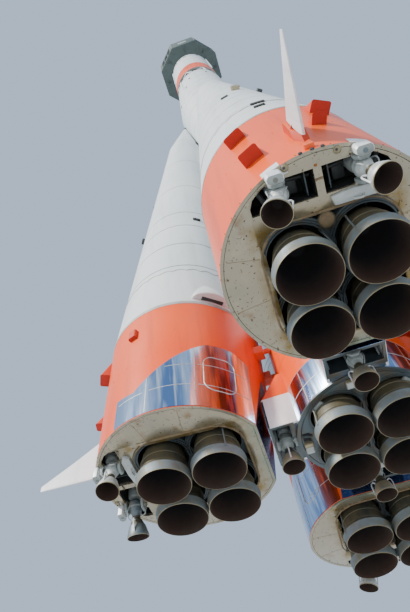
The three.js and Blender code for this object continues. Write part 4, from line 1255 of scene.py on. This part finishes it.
# Azimuth, height and half width
STAGE_VENTS = [(262, 33.75, 0.1), (232, 33.9, 0.07), (246, 33.8, 0.07), (300, 33.9, 0.08), (20, 33.8, 0.08),
               (110, 33.8, 0.08), (170, 33.8, 0.08)]


def lattice():
    shape = Shape()
    low, high = CORE_TOP + GAP, RING_FOOT - GAP
    rail = [(1.23, 0.0), (1.33, 0.0), (1.33, 0.02), (1.29, 0.024), (1.29, 0.056), (1.33, 0.06),
            (1.33, 0.08), (1.23, 0.08)]
    for foot in (low, high - 0.08):
        shape.lathe(rail, "grey_paint", move(0, 0, foot), TANK_SIDES, closed=True)
    for bay in range(8):
        foot = spin(45 * bay) @ Vector((LATTICE_RADIUS, 0, low + 0.05))
        heads = [spin(45 * bay + turn) @ Vector((LATTICE_RADIUS, 0, high - 0.05)) for turn in (22.5, -22.5)]
        for head in heads:
            shape.tube([foot, head], 0.033, "rudder_paint", sides=14)
        for at in (foot, heads[0]):
            knot = [(0, -0.045), (0.045, -0.03), (0.045, 0.03), (0, 0.045)]
            shape.lathe(knot, "grey_paint", Matrix.Translation(at), 16)
    shape.build("lattice_frame", "root", "frame_steel", "lattice_interstage")


def upper_engine():
    shape = Shape()
    paints = ["bell_neck"] * 5 + ["bell_collar"] * 2 + ["bell_inside"] * 4
    for i, j in CLUSTER:
        at = move(SMALL_PITCH * i, SMALL_PITCH * j, 0)
        shape.lathe(SMALL_BELL_OUTSIDE + SMALL_BELL_INSIDE, paints, at, 48)
        pipe = [(SMALL_PITCH * i, 0.12 * j, 27.72), (0.2 * i, 0.1 * j, 27.5), (0.1 * i, 0.2 * j, 27.35)]
        shape.tube(smooth_path(pipe), 0.025, "grey_paint")
    shape.box((-0.5, 0.5), (-0.5, 0.5), (27.7, 27.998), "dark_steel", IDENTITY, 0.03)
    pump = [(0, 27.25), (0.12, 27.27), (0.17, 27.4), (0.17, 27.6), (0.1, 27.74), (0, 27.74)]
    shape.lathe(pump, "grey_paint", IDENTITY, 32)
    shape.build("third_stage_bells", "root", "bell_metal", "third_stage_engine")


def aft_ring():
    shape = Shape()
    roof, high = RING_FOOT + 0.198, RING_TOP - GAP
    skin, paints = seamed(lambda height: STAGE_RADIUS, 27.84, high, [28.5, 29.2], "orange_paint")
    corners = [(0, roof), (1.2, roof), (1.2, RING_FOOT), (1.326, RING_FOOT), (STAGE_RADIUS, RING_FOOT + 0.01),
               *skin, (0, high)]
    paints = ["dark_steel"] * 2 + ["red_paint"] * 3 + ["orange_paint"] * len(paints) + ["seam"]
    shape.lathe(corners, paints, sides=TANK_SIDES)
    for number in range(6):
        shape.box((1.28, 1.333), (-0.07, 0.07), (28.72, 28.9), "dark_steel", spin(60 * number + 15), 0.01)
    shape.build("third_stage_ring_skin", "root", "orange_aluminium", "third_stage_aft_ring")


def stage_tank():
    shape = Shape()
    low, high = RING_TOP + GAP, STAGE_TOP - GAP
    skin, paints = seamed(lambda height: STAGE_RADIUS, low, high, [30.5, 32.0, 33.5], "white_paint")
    shape.lathe([(0, low), *skin, (0, high)], ["seam", *paints, "seam"], sides=TANK_SIDES)
    # Each vent is a near-black box: painted shade for its dark inside
    for azimuth, height, half in STAGE_VENTS:
        ends = (height - 0.09, height + 0.09)
        shape.box((1.28, 1.336), (-half, half), ends, "dark_hole", spin(azimuth), 0.01)
    for azimuth in (45, 200, 330):
        shape.box((1.3, 1.4), (-0.05, 0.05), (30.0, 34.2), "white_paint", spin(azimuth), 0.018)
    shape.build("third_stage_skin", "root", "white_paint", "third_stage_tank")


lattice()
upper_engine()
aft_ring()
stage_tank()


# Eight-sided skirt with four folding grid fins

FLARE_TOP = 34.6
SKIRT_TOP = 37.4
SKIRT_OUT = 2.0
WALL_IN = 1.774
FIN_FOOT = 34.85
FIN_HEIGHT = 2.3
FIN_HALF = 0.7
FIN_EDGE = 0.12
FIN_BAR = 0.05
FIN_COLUMNS = 3
FIN_ROWS = 4
RIB_HALF = 0.006


def octagon(inradius, height):
    corner = inradius / math.cos(math.pi / 8)
    return [polar(corner, math.tau * (i + 0.5) / 8, height) for i in range(8)]


def skirt():
    shape = Shape()
    flare = [(1.31, STAGE_TOP + GAP), (1.99, FLARE_TOP - 0.01), (1.998, FLARE_TOP + 0.01),
             (1.7, FLARE_TOP + 0.012)]
    core = [(WALL_IN, FLARE_TOP + 0.01), (WALL_IN, SKIRT_TOP - 0.012)]
    lid = [(1.9, SKIRT_TOP - 0.04), (1.99, SKIRT_TOP - 0.03), (1.99, SKIRT_TOP)]
    for rows in (flare, core, lid):
        shape.stack([octagon(*row) for row in rows], "skirt_paint")
    half = SKIRT_OUT * math.tan(math.pi / 8) - 0.002
    wall = rectangle(-half, half, FLARE_TOP + GAP, SKIRT_TOP - 0.032)
    bolts = [move(1.998, y, z) @ Z_TO_X for z in (FLARE_TOP + 0.05, SKIRT_TOP - 0.09)
             for y in (-0.6, -0.3, 0.0, 0.3, 0.6)]
    for number in range(8):
        place = spin(45 * number)
        loops = [wall]
        if number % 2:
            loops.append(rectangle(-0.73, 0.73, 34.69, 37.18))
        else:
            shape.box((1.98, 1.9985), (-0.3, 0.3), (35.6, 36.4), "grey_paint", place, 0.004)
        shape.sheet(loops, 0, 0.224, "skirt_paint", place @ quarter(WALL_IN), 0.004)
        shape.tube([(SKIRT_OUT, -half, z) for z in (FLARE_TOP + 0.02, SKIRT_TOP - 0.04)], 0.012, "grey_paint",
                   place, 6)
        shape.bolts(bolts, 0.012, "grey_paint", place)
        shape.box((1.5, 1.9), (-0.012, 0.012), (34.36, 34.46), "skirt_paint", place, 0.004)
    for azimuth in (247.5, 67.5):
        shape.box((1.9, 2.14), (-0.1, 0.1), (34.66, 34.86), "dark_steel", spin(azimuth), 0.02)
    shape.build("skirt_skin", "root", "skirt_shell", "fairing_skirt")


def grid_fin(number, angle):
    place = spin(angle)
    shape = Shape()
    leaf = rectangle(-FIN_HALF + 0.001, FIN_HALF - 0.001, FIN_FOOT + 0.001, FIN_FOOT + FIN_HEIGHT - 0.001)
    holes = []
    width = (2 * (FIN_HALF - FIN_EDGE) - (FIN_COLUMNS - 1) * FIN_BAR) / FIN_COLUMNS
    height = (FIN_HEIGHT - 2 * FIN_EDGE - (FIN_ROWS - 1) * FIN_BAR) / FIN_ROWS
    for column in range(FIN_COLUMNS):
        for row in range(FIN_ROWS):
            y = FIN_EDGE - FIN_HALF + column * (width + FIN_BAR)
            z = FIN_FOOT + FIN_EDGE + row * (height + FIN_BAR)
            holes.append(rectangle(y, y + width, z, z + height))
            rib = (z + height / 2 - RIB_HALF, z + height / 2 + RIB_HALF)
            post = (y + width / 2 - RIB_HALF, y + width / 2 + RIB_HALF)
            shape.box((1.86, 1.98), post, (z - 0.01, z + height + 0.01), "skirt_paint", place, 0)
            shape.box((1.86, 1.98), (y - 0.01, y + width + 0.01), rib, "skirt_paint", place, 0)
    shape.sheet([leaf, *holes], 0.001, 0.159, "skirt_paint", place @ quarter(1.84), 0.005)
    shape.tube([(1.92, -0.798, 34.91), (1.92, 0.798, 34.91)], 0.03, "grey_paint", place, 20)
    shape.build(f"grid_fin_{number}_frame", f"grid_fin_{number}_leaf", "skirt_paint", f"grid_fin_{number}")


skirt()
for number, angle in enumerate((45, 135, 225, 315), 1):
    grid_fin(number, angle)


# Fairing and escape tower

FAIRING_NOSE = [(1.47, 41.95), (1.4, 42.45), (1.275, 43.0), (1.11, 43.6), (0.92, 44.18), (0.7, 44.66),
                (0.5, 44.998), (0, 44.998)]
TOWER = [
    (0, 45.001), (0.418, 45.001), (0.418, 45.06), (0.39, 45.15), (0.3, 45.65), (0.3, 46.2), (0.306, 46.21),
    (0.306, 46.26), (0.3, 46.27), (0.3, 47.5), (0.306, 47.51), (0.306, 47.56), (0.3, 47.57), (0.3, 48.25),
    (0.378, 48.4), (0.378, 49.2), (0.37, 49.21), (0.37, 49.25), (0.378, 49.26), (0.378, 50.04), (0.3, 50.24),
    (0.2, 50.45), (0.1, 50.65), (0.05, 50.748), (0, 50.748),
]
TOWER_GREY = (1, 2, 6, 7, 8, 10, 11, 12, 16, 17, 18)
TOWER_NOZZLE = [(0, 0.0), (0.035, 0.0), (0.03, 0.06), (0.055, 0.16), (0.048, 0.16), (0.02, 0.08), (0, 0.08)]


def fairing():
    shape = Shape()
    low = SKIRT_TOP + GAP
    skin, paints = seamed(lambda height: FAIRING_RADIUS, low, 41.6, [38.4, 39.9, 41.5], "white_paint")
    paints = ["seam", *paints] + ["white_paint"] * (len(FAIRING_NOSE) - 1) + ["seam"]
    shape.lathe([(0, low), *skin, *FAIRING_NOSE], paints, sides=TANK_SIDES)
    for azimuth in (0, 180):
        shape.box((1.48, 1.506), (-0.03, 0.03), (SKIRT_TOP + 0.02, 41.55), "seam", spin(azimuth), 0.006)
    for azimuth in (90, 270):
        shape.lathe([(0.2, 0), (0.2, 0.012), (0.17, 0.014), (0.17, 0)], "grey_paint",
                    spin(azimuth) @ move(1.495, 0, 40.7) @ Z_TO_X, 40, closed=True)
    shape.build("fairing_skin", "root", "nose_paint", "fairing")


def escape_tower():
    shape = Shape()
    paints = ["grey_paint" if number in TOWER_GREY else "white_paint" for number in range(len(TOWER) - 1)]
    shape.lathe(TOWER, ["seam", *paints[1:]], IDENTITY, 64)
    for number in range(4):
        at = spin(45 + 90 * number) @ move(0.3, 0, 48.2) @ Matrix.Rotation(160 * DEGREE, 4, "Y")
        # The nozzles' insides are near-black painted shade
        shape.lathe(TOWER_NOZZLE, ["grey_paint"] * 4 + ["dark_hole"] * 2, at, 24)
    shape.build("escape_tower_skin", "root", "white_paint", "escape_tower")


fairing()
escape_tower()
